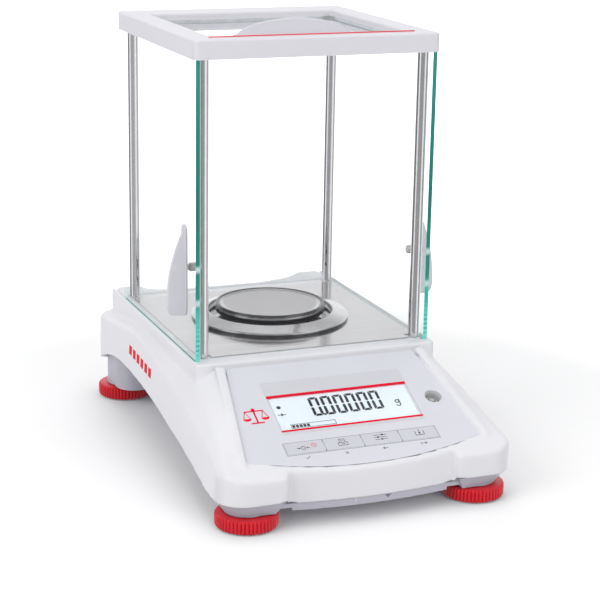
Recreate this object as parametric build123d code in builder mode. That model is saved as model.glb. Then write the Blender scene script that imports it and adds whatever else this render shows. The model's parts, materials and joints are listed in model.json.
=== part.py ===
from build123d import *
import os
import math

os.makedirs("parts", exist_ok=True)

# ---------------------------------------------------------------- driving dimensions (mm)
DECK_Z = 83.5            # top of the housing under the chamber
FRAME_Z0, FRAME_Z1 = 287.0, 300.0
TOTAL_H = 307.2          # apex of the top door handle
FRONT_Y = -160.5         # front of the corner blocks
REAR_Y = 152.0           # rear wall of the housing
HALF_W = 104.5           # half of the overall width
LOAD_Y = 36.5            # weighing axis
PAN_R = 40.0
GLASS_T = 3.0
DOOR_X = 86.5            # outer face of the side door glass
CH_Y0, CH_Y1 = -51.0, 123.5
POST_R = 4.0
POST_X, POST_YF, POST_YR = 79.2, -43.7, 118.2
FOOT_X, FOOT_Y, WHEEL_R = 81.3, 139.5, 21.0
WALL = 3.0
RUN = 0.05               # radial running clearance

# control panel plane: local x = across, local y = up the slope, local z = outward normal
PANEL = Plane(origin=(0, -106.5, 60.15), x_dir=(1, 0, 0), z_dir=(0, -0.41490, 0.90987))
COSP = 0.90987
POSTS = [(-POST_X, POST_YF), (POST_X, POST_YF), (-POST_X, POST_YR), (POST_X, POST_YR)]
FEET = {"front_left": (-FOOT_X, -FOOT_Y), "front_right": (FOOT_X, -FOOT_Y),
        "rear_left": (-FOOT_X, FOOT_Y), "rear_right": (FOOT_X, FOOT_Y)}
HOUSING_SCREWS = [(-64.5, -42), (64.5, -42), (-64.5, 100), (64.5, 100)]


def panel(h):
    """Control panel plane moved h along its outward normal."""
    return PANEL.offset(h)


def save(builder, name):
    builder.part.label = name
    export_step(builder.part, "parts/" + name + ".step")


# cross sections of the housing skirt: y, bottom edge, shoulder edge, shoulder middle, shoulder top
STATIONS = [
    (-166.0, (104.9, 16.5), (105.2, 30.0), (101.5, 36.5), (94.5, 38.0)),
    (-146.0, (104.7, 16.7), (104.3, 37.6), (98.9, 42.6), (90.6, 44.6)),
    (-110.0, (103.0, 21.6), (101.9, 47.8), (94.6, 55.6), (84.2, 60.4)),
    (-82.0, (101.9, 26.3), (100.6, 53.6), (91.9, 64.0), (79.7, 71.6)),
    (-54.0, (101.2, 30.5), (99.4, 58.4), (89.9, 70.6), (76.0, 79.4)),
    (-22.0, (100.8, 35.2), (98.4, 63.0), (89.3, 72.6), (76.0, 80.0)),
    (28.0, (100.4, 41.4), (97.2, 69.6), (89.2, 73.2), (76.0, 80.0)),
    (88.0, (100.2, 43.4), (97.6, 70.2), (89.3, 72.6), (76.0, 80.0)),
    (125.0, (100.2, 37.5), (98.4, 65.2), (89.3, 67.6), (76.0, 80.0)),
    (145.0, (100.1, 30.2), (98.6, 63.4), (89.3, 65.6), (76.0, 79.0)),
    (166.0, (100.0, 21.0), (98.8, 61.5), (89.3, 63.8), (76.0, 77.0)),
]

# ================================================================= top housing
# hollow of the housing: skirt cavity bounded by the plan outline and the wall thickness
with BuildPart() as housing_cavity:
    for y, p0, p1, pm, p2 in STATIONS:
        with BuildSketch(Plane.XZ.offset(-y)):
            Polygon(
                (-p0[0] + WALL, -10), (p0[0] - WALL, -10),
                (p1[0] - WALL, p1[1] - 1.8), (pm[0] - 1.4, pm[1] - WALL), (p2[0] - 0.6, p2[1] - WALL - 1.0),
                (-p2[0] + 0.6, p2[1] - WALL - 1.0), (-pm[0] + 1.4, pm[1] - WALL), (-p1[0] + WALL, p1[1] - 1.8),
                align=None,
            )
    loft()
    with BuildSketch(Plane.XY.offset(-20)):
        with BuildLine():
            ThreePointArc((-55.6, -151.2), (0, -156.6), (55.6, -151.2))
            Line((55.6, -151.2), (62.0, -157.5))
            Line((62.0, -157.5), (84.5, -157.5))
            ThreePointArc((84.5, -157.5), (96.5, -152.5), (101.5, -140.5))
            Line((101.5, -140.5), (97.4, 141.0))
            ThreePointArc((97.4, 141.0), (92.89, 151.89), (82.0, 156.4))
            Line((82.0, 156.4), (69.0, 156.4))
            Line((69.0, 156.4), (69.0, 149.0))
            Line((69.0, 149.0), (-69.0, 149.0))
            Line((-69.0, 149.0), (-69.0, 156.4))
            Line((-69.0, 156.4), (-82.0, 156.4))
            ThreePointArc((-82.0, 156.4), (-92.89, 151.89), (-97.4, 141.0))
            Line((-97.4, 141.0), (-101.5, -140.5))
            ThreePointArc((-101.5, -140.5), (-96.5, -152.5), (-84.5, -157.5))
            Line((-84.5, -157.5), (-62.0, -157.5))
            Line((-62.0, -157.5), (-55.6, -151.2))
        make_face()
    extrude(amount=140, mode=Mode.INTERSECT)
    with BuildSketch(Plane.XY.offset(73)):
        with Locations((0, 147)):
            Rectangle(148, 38)
    extrude(amount=20, mode=Mode.SUBTRACT)
    with BuildSketch(Plane.XY.offset(61.2)):
        with Locations((-92, 157.2), (92, 157.2)):
            Rectangle(56, 18)
    extrude(amount=30, mode=Mode.SUBTRACT)

# chamber deck with its rounded lip
with BuildPart() as deck_block:
    with BuildSketch(Plane.XY.offset(62)):
        with Locations((0, 45.75)):
            RectangleRounded(178, 210.5, 3.5)
    extrude(amount=DECK_Z - 62)
    fillet(deck_block.faces().sort_by(Axis.Z)[-1].edges(), 1.6)

with BuildPart() as top_housing:
    # outer skirt, shoulders and panel mass lofted through the cross sections
    for y, p0, p1, pm, p2 in STATIONS:
        with BuildSketch(Plane.XZ.offset(-y)):
            Polygon(
                (-p0[0], p0[1]), (p0[0], p0[1]), p1, pm, p2,
                (-p2[0], p2[1]), (-pm[0], pm[1]), (-p1[0], p1[1]),
                align=None,
            )
    loft()
    # plan outline: recessed middle of the front and rear, corner blocks, tapered sides
    with BuildSketch(Plane.XY):
        with BuildLine():
            ThreePointArc((-58.0, -154.2), (0, -159.6), (58.0, -154.2))
            Line((58.0, -154.2), (60.0, -159.0))
            ThreePointArc((60.0, -159.0), (60.7, -160.1), (62.0, FRONT_Y))
            Line((62.0, FRONT_Y), (84.5, FRONT_Y))
            ThreePointArc((84.5, FRONT_Y), (98.64, -154.64), (HALF_W, -140.5))
            Line((HALF_W, -140.5), (100.4, 141.0))
            ThreePointArc((100.4, 141.0), (95.01, 154.01), (82.0, 159.4))
            Line((82.0, 159.4), (70.0, 159.4))
            ThreePointArc((70.0, 159.4), (67.17, 158.23), (66.0, 155.4))
            Line((66.0, 155.4), (66.0, REAR_Y))
            Line((66.0, REAR_Y), (-66.0, REAR_Y))
            Line((-66.0, REAR_Y), (-66.0, 155.4))
            ThreePointArc((-66.0, 155.4), (-67.17, 158.23), (-70.0, 159.4))
            Line((-70.0, 159.4), (-82.0, 159.4))
            ThreePointArc((-82.0, 159.4), (-95.01, 154.01), (-100.4, 141.0))
            Line((-100.4, 141.0), (-HALF_W, -140.5))
            ThreePointArc((-HALF_W, -140.5), (-98.64, -154.64), (-84.5, FRONT_Y))
            Line((-84.5, FRONT_Y), (-62.0, FRONT_Y))
            ThreePointArc((-62.0, FRONT_Y), (-60.7, -160.1), (-60.0, -159.0))
            Line((-60.0, -159.0), (-58.0, -154.2))
        make_face()
    extrude(amount=120, mode=Mode.INTERSECT)
    # panel top surface, cut along the slope
    with BuildSketch(panel(0.8)):
        with Locations((0, -20)):
            Rectangle(230, 145)
    extrude(amount=40, mode=Mode.SUBTRACT)
    with BuildSketch(Plane.XY.offset(80)):
        with Locations((0, 60)):
            Rectangle(230, 230)
    extrude(amount=30, mode=Mode.SUBTRACT)
    # ledge over the rear corner blocks, raised lower edge of the front corner blocks
    with BuildSketch(Plane.XY.offset(64.2)):
        with Locations((-90, 157.2), (90, 157.2)):
            Rectangle(52, 12)
    extrude(amount=30, mode=Mode.SUBTRACT)
    with BuildSketch(Plane.XY.offset(10)):
        with Locations((-90, -140), (90, -140)):
            Rectangle(61.4, 44)
    extrude(amount=9.8, mode=Mode.SUBTRACT)
    add(deck_block.part)
    # hollowed rear top between the two raised rear corners
    with BuildSketch(Plane.XZ.offset(-131.0)):
        with BuildLine():
            Spline((-68.5, 84.0), (-63.0, 81.4), (-45.0, 78.4), (-20.0, 76.3), (0, 75.6), (20.0, 76.3), (45.0, 78.4), (63.0, 81.4), (68.5, 84.0))
            Line((68.5, 84.0), (68.5, 95.0))
            Line((68.5, 95.0), (-68.5, 95.0))
            Line((-68.5, 95.0), (-68.5, 84.0))
        make_face()
    extrude(amount=-34, mode=Mode.SUBTRACT)
    # raised ridges beside the panel
    with BuildSketch(panel(0.2)):
        for s in (-1, 1):
            Polygon((s * 70.4, 47.5), (s * 76.6, 49.5), (s * 89.6, -41.5), (s * 84.9, -46.5), align=None)
    extrude(amount=2.0)
    add(housing_cavity.part, mode=Mode.SUBTRACT)
    with BuildSketch(Plane.XY.offset(60)):
        with Locations((0, 36)):
            RectangleRounded(171.6, 184, 3)
    extrude(amount=DECK_Z - 4 - 60, mode=Mode.SUBTRACT)
    # pocket for the panel overlay
    with BuildSketch(panel(-0.8)):
        with BuildLine():
            Line((-68.2, 46.7), (68.2, 46.7))
            Line((68.2, 46.7), (81.6, -39.6))
            ThreePointArc((81.6, -39.6), (0, -52.4), (-81.6, -39.6))
            Line((-81.6, -39.6), (-68.2, 46.7))
        make_face()
        offset(amount=1.4, kind=Kind.ARC)
    extrude(amount=6, mode=Mode.SUBTRACT)
    # display window, key slot and level vial hole
    with BuildSketch(panel(-8)):
        Rectangle(99, 30.8)
        with Locations((0, -33.3)):
            Rectangle(108.6, 10.8)
        with Locations((65.4, 0)):
            Circle(6.3)
    extrude(amount=12, mode=Mode.SUBTRACT)
    # guide grooves of the side doors, seats of the fixed front and rear glass
    with BuildSketch(Plane.XY.offset(81.5)):
        with Locations((-85, 58.8), (85, 58.8)):
            Rectangle(3.4, 220)
    extrude(amount=4, mode=Mode.SUBTRACT)
    with BuildSketch(Plane.XY.offset(82)):
        with Locations((0, -49.5), (0, 124.0)):
            Rectangle(167, 3.4)
    extrude(amount=4, mode=Mode.SUBTRACT)
    # load hole and post holes through the deck
    with BuildSketch(Plane.XY.offset(70)):
        with Locations((0, LOAD_Y)):
            Circle(12)
        with Locations(*POSTS):
            Circle(2.1)
    extrude(amount=20, mode=Mode.SUBTRACT)
    # opening for the rear connector panel
    with BuildSketch(Plane.XZ.offset(-140)):
        with Locations((0, 51)):
            RectangleRounded(124, 30, 2)
    extrude(amount=-20, mode=Mode.SUBTRACT)
    # screw bosses under the deck
    with BuildSketch(Plane.XY.offset(16)):
        with Locations(*HOUSING_SCREWS):
            Circle(3.5)
    extrude(amount=DECK_Z - 3 - 16)
    with BuildSketch(Plane.XY.offset(10)):
        with Locations(*HOUSING_SCREWS):
            Circle(1.6)
    extrude(amount=26, mode=Mode.SUBTRACT)
save(top_housing, "top_housing")

# ================================================================= bottom tray
with BuildPart() as bottom_tray:
    # walls and floor following the plan, waisted between the front and rear feet
    with BuildSketch(Plane.XY.offset(13)) as tray_plan:
        with BuildLine():
            ThreePointArc((-54.0, -149.6), (0, -155.0), (54.0, -149.6))
            Line((54.0, -149.6), (66.0, -153.6))
            Line((66.0, -153.6), (82.6, -153.6))
            ThreePointArc((82.6, -153.6), (92.57, -149.47), (96.7, -139.5))
            Line((96.7, -139.5), (96.6, -112.0))
            Line((96.6, -112.0), (72.0, -100.0))
            Line((72.0, -100.0), (72.0, 104.0))
            Line((72.0, 104.0), (81.0, 104.0))
            ThreePointArc((81.0, 104.0), (90.76, 108.04), (94.8, 117.8))
            Line((94.8, 117.8), (94.8, 141.0))
            ThreePointArc((94.8, 141.0), (90.85, 150.55), (81.3, 154.5))
            Line((81.3, 154.5), (70.4, 154.5))
            Line((70.4, 154.5), (70.4, 147.5))
            Line((70.4, 147.5), (-70.4, 147.5))
            Line((-70.4, 147.5), (-70.4, 154.5))
            Line((-70.4, 154.5), (-81.3, 154.5))
            ThreePointArc((-81.3, 154.5), (-90.85, 150.55), (-94.8, 141.0))
            Line((-94.8, 141.0), (-94.8, 117.8))
            ThreePointArc((-94.8, 117.8), (-90.76, 108.04), (-81.0, 104.0))
            Line((-81.0, 104.0), (-72.0, 104.0))
            Line((-72.0, 104.0), (-72.0, -100.0))
            Line((-72.0, -100.0), (-96.6, -112.0))
            Line((-96.6, -112.0), (-96.7, -139.5))
            ThreePointArc((-96.7, -139.5), (-92.57, -149.47), (-82.6, -153.6))
            Line((-82.6, -153.6), (-66.0, -153.6))
            Line((-66.0, -153.6), (-54.0, -149.6))
        make_face()
    extrude(amount=47)
    # tapered corner blocks over the front feet, round collars over all four
    for s in (-1, 1):
        for z, pts, mid in (
            (10.4, ((66.5, -153.4), (82.6, -153.4), (96.4, -139.6), (96.2, -124.0), (66.5, -124.0)), (92.36, -149.36)),
            (19.6, ((61.8, -158.6), (84.0, -158.6), (101.6, -141.0), (101.0, -122.0), (61.8, -122.0)), (96.45, -153.45)),
        ):
            with BuildSketch(Plane.XY.offset(z)):
                with BuildLine():
                    Line((s * pts[0][0], pts[0][1]), (s * pts[1][0], pts[1][1]))
                    ThreePointArc((s * pts[1][0], pts[1][1]), (s * mid[0], mid[1]), (s * pts[2][0], pts[2][1]))
                    Line((s * pts[2][0], pts[2][1]), (s * pts[3][0], pts[3][1]))
                    Line((s * pts[3][0], pts[3][1]), (s * pts[4][0], pts[4][1]))
                    Line((s * pts[4][0], pts[4][1]), (s * pts[0][0], pts[0][1]))
                make_face()
        loft(ruled=True)
    with BuildSketch(Plane.XY.offset(10.4)):
        with Locations(*FEET.values()):
            Circle(14.4)
    extrude(amount=3)
    with BuildSketch(Plane.XY.offset(15.5)):
        add(tray_plan.sketch.face())
        offset(amount=-2.5, kind=Kind.INTERSECTION)
    extrude(amount=60, mode=Mode.SUBTRACT)
    # flush band under the front of the housing and the lower middle of the floor
    with BuildSketch(Plane.XY.offset(13)):
        with BuildLine():
            ThreePointArc((-57.0, -152.7), (0, -158.1), (57.0, -152.7))
            Line((57.0, -152.7), (66.0, -152.7))
            Line((66.0, -152.7), (66.0, -128.0))
            Line((66.0, -128.0), (-66.0, -128.0))
            Line((-66.0, -128.0), (-66.0, -152.7))
            Line((-66.0, -152.7), (-57.0, -152.7))
        make_face()
    extrude(amount=2.9)
    with BuildSketch(Plane.XY.offset(11)):
        with BuildLine():
            ThreePointArc((-55.0, -152.9), (0, -157.6), (55.0, -152.9))
            Line((55.0, -152.9), (55.0, 140.0))
            Line((55.0, 140.0), (-55.0, 140.0))
            Line((-55.0, 140.0), (-55.0, -152.9))
        make_face()
    extrude(amount=2.5)
    # walls stay under the sloping panel and the shoulders
    with BuildSketch(panel(-14.5)):
        with Locations((0, -10)):
            Rectangle(230, 165)
    extrude(amount=70, mode=Mode.SUBTRACT)
    with BuildSketch(Plane.XY.offset(26)):
        with Locations((0, -130)):
            Rectangle(230, 70)
    extrude(amount=60, mode=Mode.SUBTRACT)
    with BuildSketch(Plane.XY.offset(46)):
        with Locations((-86, 131), (86, 131)):
            Rectangle(32, 60)
    extrude(amount=60, mode=Mode.SUBTRACT)
    # room for the rear sockets
    with BuildSketch(Plane.XY.offset(32)):
        with Locations((0, 146)):
            Rectangle(128, 10)
    extrude(amount=60, mode=Mode.SUBTRACT)
    # foot bosses, chassis bosses, board posts, housing screw columns
    with BuildSketch(Plane.XY.offset(13)):
        with Locations(*FEET.values()):
            Circle(8)
    extrude(amount=12)
    with BuildSketch(Plane.XY.offset(13.5)):
        with Locations((-50, 0), (50, 0), (-50, 122), (50, 122)):
            Circle(5)
    extrude(amount=6.5)
    with BuildSketch(Plane.XY.offset(13.5)):
        with Locations((-52, -118), (52, -118), (-52, -34), (52, -34)):
            Circle(3)
    extrude(amount=5.5)
    with BuildSketch(Plane.XY.offset(11)):
        with Locations(*HOUSING_SCREWS):
            Circle(5)
    extrude(amount=4.8)
    # bores: foot inserts, housing screws, weigh-below access
    with BuildSketch(Plane.XY.offset(5)):
        with Locations(*FEET.values()):
            Circle(5)
        with Locations(*HOUSING_SCREWS):
            Circle(1.8)
        with Locations((-52, -118), (52, -118), (-52, -34), (52, -34)):
            Circle(1.3)
        with Locations((-50, 0), (50, 0), (-50, 122), (50, 122)):
            Circle(2.0)
    extrude(amount=30, mode=Mode.SUBTRACT)
    with BuildSketch(Plane.XY.offset(5)):
        with Locations(*HOUSING_SCREWS):
            Circle(3.6)
    extrude(amount=8.5, mode=Mode.SUBTRACT)
save(bottom_tray, "bottom_tray")

# ================================================================= levelling feet
with BuildPart() as threaded_inserts:
    for x, y in FEET.values():
        with BuildSketch(Plane.XY.offset(13.2)):
            with Locations((x, y)):
                Circle(4.98)
                Circle(3.05, mode=Mode.SUBTRACT)
        extrude(amount=11.8)
save(threaded_inserts, "threaded_inserts")

for name, (x, y) in FEET.items():
    with BuildPart() as foot_pad:
        with BuildSketch(Plane.XY):
            with Locations((x, y)):
                Circle(16)
        extrude(amount=1.4)
        chamfer(foot_pad.edges().sort_by(Axis.Z)[0], 0.5)
        with BuildSketch(Plane.XY.offset(1.4)):
            with Locations((x, y)):
                Circle(5)
        extrude(amount=3.0)
    save(foot_pad, "foot_pad_" + name)

    with BuildPart() as foot_wheel:
        with BuildSketch(Plane.XY.offset(0.4)):
            with Locations((x, y)):
                Circle(20.3)
        extrude(amount=9.4)
        chamfer(foot_wheel.edges().group_by(Axis.Z)[-1], 0.8)
        # gripping ribs around the rim
        with BuildSketch(Plane.XY.offset(0.8)):
            with Locations((x, y)):
                with PolarLocations(19.9, 50):
                    SlotCenterToCenter(0.9, 1.3)
        extrude(amount=8.1)
        # the rim hangs over the rubber pad
        with BuildSketch(Plane.XY):
            with Locations((x, y)):
                Circle(16.5)
        extrude(amount=1.5, mode=Mode.SUBTRACT)
        with BuildSketch(Plane.XY.offset(1.4)):
            with Locations((x, y)):
                Circle(5.0 + RUN)
        extrude(amount=3.15, mode=Mode.SUBTRACT)
        with BuildSketch(Plane.XY.offset(4.55)):
            with Locations((x, y)):
                Circle(3.0 + 0.01)
        extrude(amount=10, mode=Mode.SUBTRACT)
    save(foot_wheel, "foot_wheel_" + name)

    with BuildPart() as foot_stud:
        with BuildSketch(Plane.XY.offset(4.6)):
            with Locations((x, y)):
                Circle(3.0)
        extrude(amount=19.0)
        chamfer(foot_stud.edges().sort_by(Axis.Z)[-1], 0.6)
    save(foot_stud, "foot_stud_" + name)

# ================================================================= control panel
with BuildPart() as control_overlay:
    with BuildSketch(panel(-0.8)):
        with BuildLine():
            Line((-68.2, 46.7), (68.2, 46.7))
            Line((68.2, 46.7), (81.6, -39.6))
            ThreePointArc((81.6, -39.6), (0, -52.4), (-81.6, -39.6))
            Line((-81.6, -39.6), (-68.2, 46.7))
        make_face()
        Rectangle(101.6, 32.8, mode=Mode.SUBTRACT)
        with Locations((0, -33.3)):
            Rectangle(108.8, 11.0, mode=Mode.SUBTRACT)
        with Locations((65.4, 0)):
            Circle(6.0, mode=Mode.SUBTRACT)
    extrude(amount=0.8)
save(control_overlay, "control_overlay")

with BuildPart() as display_window:
    with BuildSketch(panel(-0.8)):
        Rectangle(101.4, 32.6)
    extrude(amount=0.8)
save(display_window, "display_window")

with BuildPart() as display_module:
    with BuildSketch(panel(-7.6)):
        Rectangle(98, 30)
    extrude(amount=4.6)
    with BuildSketch(panel(-3.0)):
        Rectangle(94, 27)
    extrude(amount=1.6)
save(display_module, "display_module")

with BuildPart() as display_board:
    with BuildSketch(panel(-9.4)):
        with Locations((0, -10)):
            Rectangle(112, 60)
    extrude(amount=1.6)
    # tactile switches under the keys
    with BuildSketch(panel(-7.8)):
        with Locations((-40.5, -33.3), (-13.5, -33.3), (13.5, -33.3), (40.5, -33.3)):
            Rectangle(6, 6)
    extrude(amount=1.6)
save(display_board, "display_board")

for name, cx in {"key_zero": -40.5, "key_print": -13.5, "key_function": 13.5, "key_tare": 40.5}.items():
    with BuildPart() as key:
        with BuildSketch(panel(-2.0)):
            with Locations((cx, -33.3)):
                Rectangle(26.6, 10.0)
        extrude(amount=2.5)
        with BuildSketch(panel(-5.6)):
            with Locations((cx, -33.3)):
                Rectangle(4, 4)
        extrude(amount=3.8)
    save(key, name)

with BuildPart() as level_vial_cup:
    with BuildSketch(panel(-13)):
        with Locations((65.4, 0)):
            Circle(8.5)
    extrude(amount=8.4)
    with BuildSketch(panel(-5)):
        with Locations((65.4, 0)):
            Circle(5.95)
    extrude(amount=4.0)
    with BuildSketch(panel(-11.5)):
        with Locations((65.4, 0)):
            Circle(5.2)
    extrude(amount=14, mode=Mode.SUBTRACT)
save(level_vial_cup, "level_vial_cup")

with BuildPart() as level_vial:
    with BuildSketch(panel(-11.4)):
        with Locations((65.4, 0)):
            Circle(5.15)
    extrude(amount=8.2)
save(level_vial, "level_vial")

# ================================================================= electronics
with BuildPart() as main_board:
    with BuildSketch(Plane.XY.offset(19.05)):
        with Locations((0, -76)):
            Rectangle(116, 96)
        with Locations((-52, -118), (52, -118), (-52, -34), (52, -34)):
            Circle(1.7, mode=Mode.SUBTRACT)
    extrude(amount=1.6)
    with BuildSketch(Plane.XY.offset(20.65)):
        with Locations((-20, -70)):
            Rectangle(14, 14)
        with Locations((12, -60)):
            Rectangle(10, 18)
        with Locations((36, -84)):
            Rectangle(12, 9)
    extrude(amount=1.8)
    with BuildSketch(Plane.XY.offset(20.65)):
        with Locations((0, -106)):
            Rectangle(24, 5)
        with Locations((0, -33)):
            Rectangle(24, 5)
    extrude(amount=5)
save(main_board, "main_board")

with BuildPart() as interface_board:
    with BuildSketch(Plane.XZ.offset(-137)):
        with Locations((0, 49)):
            Rectangle(116, 26)
    extrude(amount=-1.6)
save(interface_board, "interface_board")

with BuildPart() as rear_connector_panel:
    with BuildSketch(Plane.XZ.offset(-149.4)):
        with Locations((0, 51)):
            RectangleRounded(123.6, 29.6, 1.8)
        with Locations((-42, 51)):
            Circle(5.6, mode=Mode.SUBTRACT)
        with Locations((-4, 51)):
            Rectangle(32, 13, mode=Mode.SUBTRACT)
        with Locations((36, 51)):
            Rectangle(12.8, 11.8, mode=Mode.SUBTRACT)
    extrude(amount=-2)
save(rear_connector_panel, "rear_connector_panel")

with BuildPart() as power_socket:
    with BuildSketch(Plane.XZ.offset(-138.65)):
        with Locations((-42, 51)):
            Rectangle(11, 11)
    extrude(amount=-10)
    with BuildSketch(Plane.XZ.offset(-148.65)):
        with Locations((-42, 51)):
            Circle(5.4)
    extrude(amount=-3)
    with BuildSketch(Plane.XZ.offset(-141)):
        with Locations((-42, 51)):
            Circle(3.2)
            Circle(1.0, mode=Mode.SUBTRACT)
    extrude(amount=-12, mode=Mode.SUBTRACT)
save(power_socket, "power_socket")

with BuildPart() as serial_socket:
    with BuildSketch(Plane.XZ.offset(-138.65)):
        with Locations((-4, 51)):
            Rectangle(30, 12)
    extrude(amount=-10.3)
    with BuildSketch(Plane.XZ.offset(-148.9)):
        with Locations((-4, 51)):
            Trapezoid(18.5, 8.4, 80, rotation=180)
    extrude(amount=-3.4)
    with BuildSketch(Plane.XZ.offset(-147)):
        with Locations(*[(-4 + (i - 2) * 2.76, 52.4) for i in range(5)], *[(-4 + (i - 1.5) * 2.76, 49.6) for i in range(4)]):
            Circle(0.55)
    extrude(amount=-8, mode=Mode.SUBTRACT)
save(serial_socket, "serial_socket")

with BuildPart() as usb_socket:
    with BuildSketch(Plane.XZ.offset(-138.65)):
        with Locations((36, 51)):
            Rectangle(12, 11)
    extrude(amount=-13)
    with BuildSketch(Plane.XZ.offset(-143)):
        with Locations((36, 51)):
            Rectangle(8.6, 7.8)
            Rectangle(5.6, 3.2, mode=Mode.SUBTRACT)
    extrude(amount=-10, mode=Mode.SUBTRACT)
save(usb_socket, "usb_socket")

with BuildPart() as ribbon_cable:
    with BuildSketch(Plane.YZ.offset(-9)):
        with BuildLine():
            p = Polyline((-106, 26.1), (-106, 34), (-112, 40), (-112, 46.5))
            offset(amount=0.4, side=Side.BOTH)
        make_face()
    extrude(amount=18)
save(ribbon_cable, "ribbon_cable")

# ================================================================= weigh cell
with BuildPart() as chassis_plate:
    with BuildSketch(Plane.XY.offset(20.05)):
        with Locations((0, 61)):
            RectangleRounded(116, 138, 6)
        with Locations((-50, 0), (50, 0), (-50, 122), (50, 122), (-15, 56), (15, 56), (-15, 118), (15, 118)):
            Circle(2.1, mode=Mode.SUBTRACT)
        with Locations((0, LOAD_Y)):
            Circle(9, mode=Mode.SUBTRACT)
    extrude(amount=5.95)
    with BuildSketch(Plane.XY.offset(23)):
        with Locations((-38, 60), (38, 60)):
            RectangleRounded(28, 90, 5)
    extrude(amount=4, mode=Mode.SUBTRACT)
save(chassis_plate, "chassis_plate")

with BuildPart() as cell_frame:
    with BuildSketch(Plane.XY.offset(26.05)):
        with Locations((0, 87)):
            RectangleRounded(40, 74, 2)
    extrude(amount=3.95)
    with BuildSketch(Plane.XY.offset(30)):
        with Locations((0, 111)):
            RectangleRounded(40, 26, 2)
    extrude(amount=40)
    # cheeks of the lever pivot
    with BuildSketch(Plane.XY.offset(30)):
        with Locations((-10, 60), (10, 60)):
            Rectangle(4, 10)
    extrude(amount=27)
    with BuildSketch(Plane.YZ.offset(-15)):
        with Locations((60, 52)):
            Circle(1.5 + RUN)
    extrude(amount=30, mode=Mode.SUBTRACT)
    # slot of the lower guide and lightening pocket
    with BuildSketch(Plane.YZ.offset(-25)):
        with Locations((102, 32.85)):
            Rectangle(10, 2.7)
    extrude(amount=50, mode=Mode.SUBTRACT)
    with BuildSketch(Plane.XZ.offset(-110)):
        with Locations((0, 52)):
            RectangleRounded(22, 22, 3)
    extrude(amount=-16, mode=Mode.SUBTRACT)
    with BuildSketch(Plane.XY.offset(26)):
        with Locations((-15, 56), (15, 56), (-15, 118), (15, 118)):
            Circle(2.0)
    extrude(amount=8, mode=Mode.SUBTRACT)
save(cell_frame, "cell_frame")

for name, z in {"upper_guide": 70.1, "lower_guide": 31.8}.items():
    with BuildPart() as guide:
        with BuildSketch(Plane.XY.offset(z)):
            with Locations((0, 68)):
                RectangleRounded(36, 76, 2)
            with Locations((0, 73.5)):
                RectangleRounded(29, 45, 2, mode=Mode.SUBTRACT)
            if name == "upper_guide":
                with Locations((0, LOAD_Y)):
                    Circle(5, mode=Mode.SUBTRACT)
        extrude(amount=2)
        # thinned flexures near both ends
        with BuildSketch(Plane.YZ.offset(-20)):
            with Locations((47.5, z + 2), (100, z + 2)):
                Circle(1.3)
        extrude(amount=40, mode=Mode.SUBTRACT)
    save(guide, name)

with BuildPart() as load_receiver:
    with BuildSketch(Plane.XY.offset(34)):
        with Locations((0, 37)):
            RectangleRounded(24, 18, 2)
    extrude(amount=36)
    with BuildSketch(Plane.XY.offset(70)):
        with Locations((0, LOAD_Y)):
            Circle(3)
    extrude(amount=13.8)
    with BuildSketch(Plane.YZ.offset(-20)):
        with Locations((37, 52)):
            RectangleRounded(9, 20, 2)
    extrude(amount=40, mode=Mode.SUBTRACT)
save(load_receiver, "load_receiver")

with BuildPart() as lever_beam:
    with BuildSketch(Plane.XY.offset(49.5)):
        with Locations((0, 70.5)):
            RectangleRounded(6, 47, 1)
    extrude(amount=5)
    with BuildSketch(Plane.YZ.offset(-11.5)):
        with Locations((60, 52)):
            Circle(1.5)
    extrude(amount=23)
    with BuildSketch(Plane.YZ.offset(-5)):
        with Locations((74, 52)):
            RectangleRounded(14, 2.4, 1)
    extrude(amount=10, mode=Mode.SUBTRACT)
save(lever_beam, "lever_beam")

with BuildPart() as drive_coil:
    with BuildSketch(Plane.XY.offset(48.2)):
        with Locations((0, 84)):
            Circle(9.3)
    extrude(amount=1.28)
    with BuildSketch(Plane.XY.offset(36)):
        with Locations((0, 84)):
            Circle(9.3)
            Circle(6.9, mode=Mode.SUBTRACT)
    extrude(amount=12.2)
save(drive_coil, "drive_coil")

with BuildPart() as magnet_pot:
    with BuildSketch(Plane.XY.offset(30.02)):
        with Locations((0, 84)):
            Circle(12)
    extrude(amount=15.5)
    with BuildSketch(Plane.XY.offset(34)):
        with Locations((0, 84)):
            Circle(10.3)
            Circle(5.9, mode=Mode.SUBTRACT)
    extrude(amount=20, mode=Mode.SUBTRACT)
save(magnet_pot, "magnet_pot")

with BuildPart() as position_sensor:
    with BuildSketch(Plane.XZ.offset(-96.2)):
        with Locations((0, 54)):
            Rectangle(18, 14)
            Rectangle(8, 8, mode=Mode.SUBTRACT)
    extrude(amount=-1.4)
save(position_sensor, "position_sensor")

# ================================================================= chamber floor, ring and pan
AXIAL = Plane(origin=(0, LOAD_Y, 0), x_dir=(1, 0, 0), z_dir=(0, -1, 0))
LOAD_AXIS = Axis((0, LOAD_Y, 0), (0, 0, 1))

with BuildPart() as pan_support:
    with BuildSketch(AXIAL):
        Polygon((3.02, 78.6), (4.6, 78.6), (4.6, 84.2), (9.5, 87.2), (9.5, 88.3), (6.0, 88.3), (5.6, 92.0),
                (0, 92.0), (0, 84.2), (3.02, 84.2), align=None)
    revolve(axis=LOAD_AXIS)
save(pan_support, "pan_support")

with BuildPart() as weighing_pan:
    with BuildSketch(AXIAL):
        Polygon((0, 94.0), (34.3, 94.0), (35.6, 94.25), (39.0, 95.15), (39.7, 95.1), (40.0, 94.7), (40.0, 89.2),
                (39.3, 88.9), (39.3, 94.1), (35.4, 93.4), (8.2, 93.2), (8.2, 88.4), (6.1, 88.4), (5.75, 92.2),
                (0, 92.2), align=None)
    revolve(axis=LOAD_AXIS)
save(weighing_pan, "weighing_pan")

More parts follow.
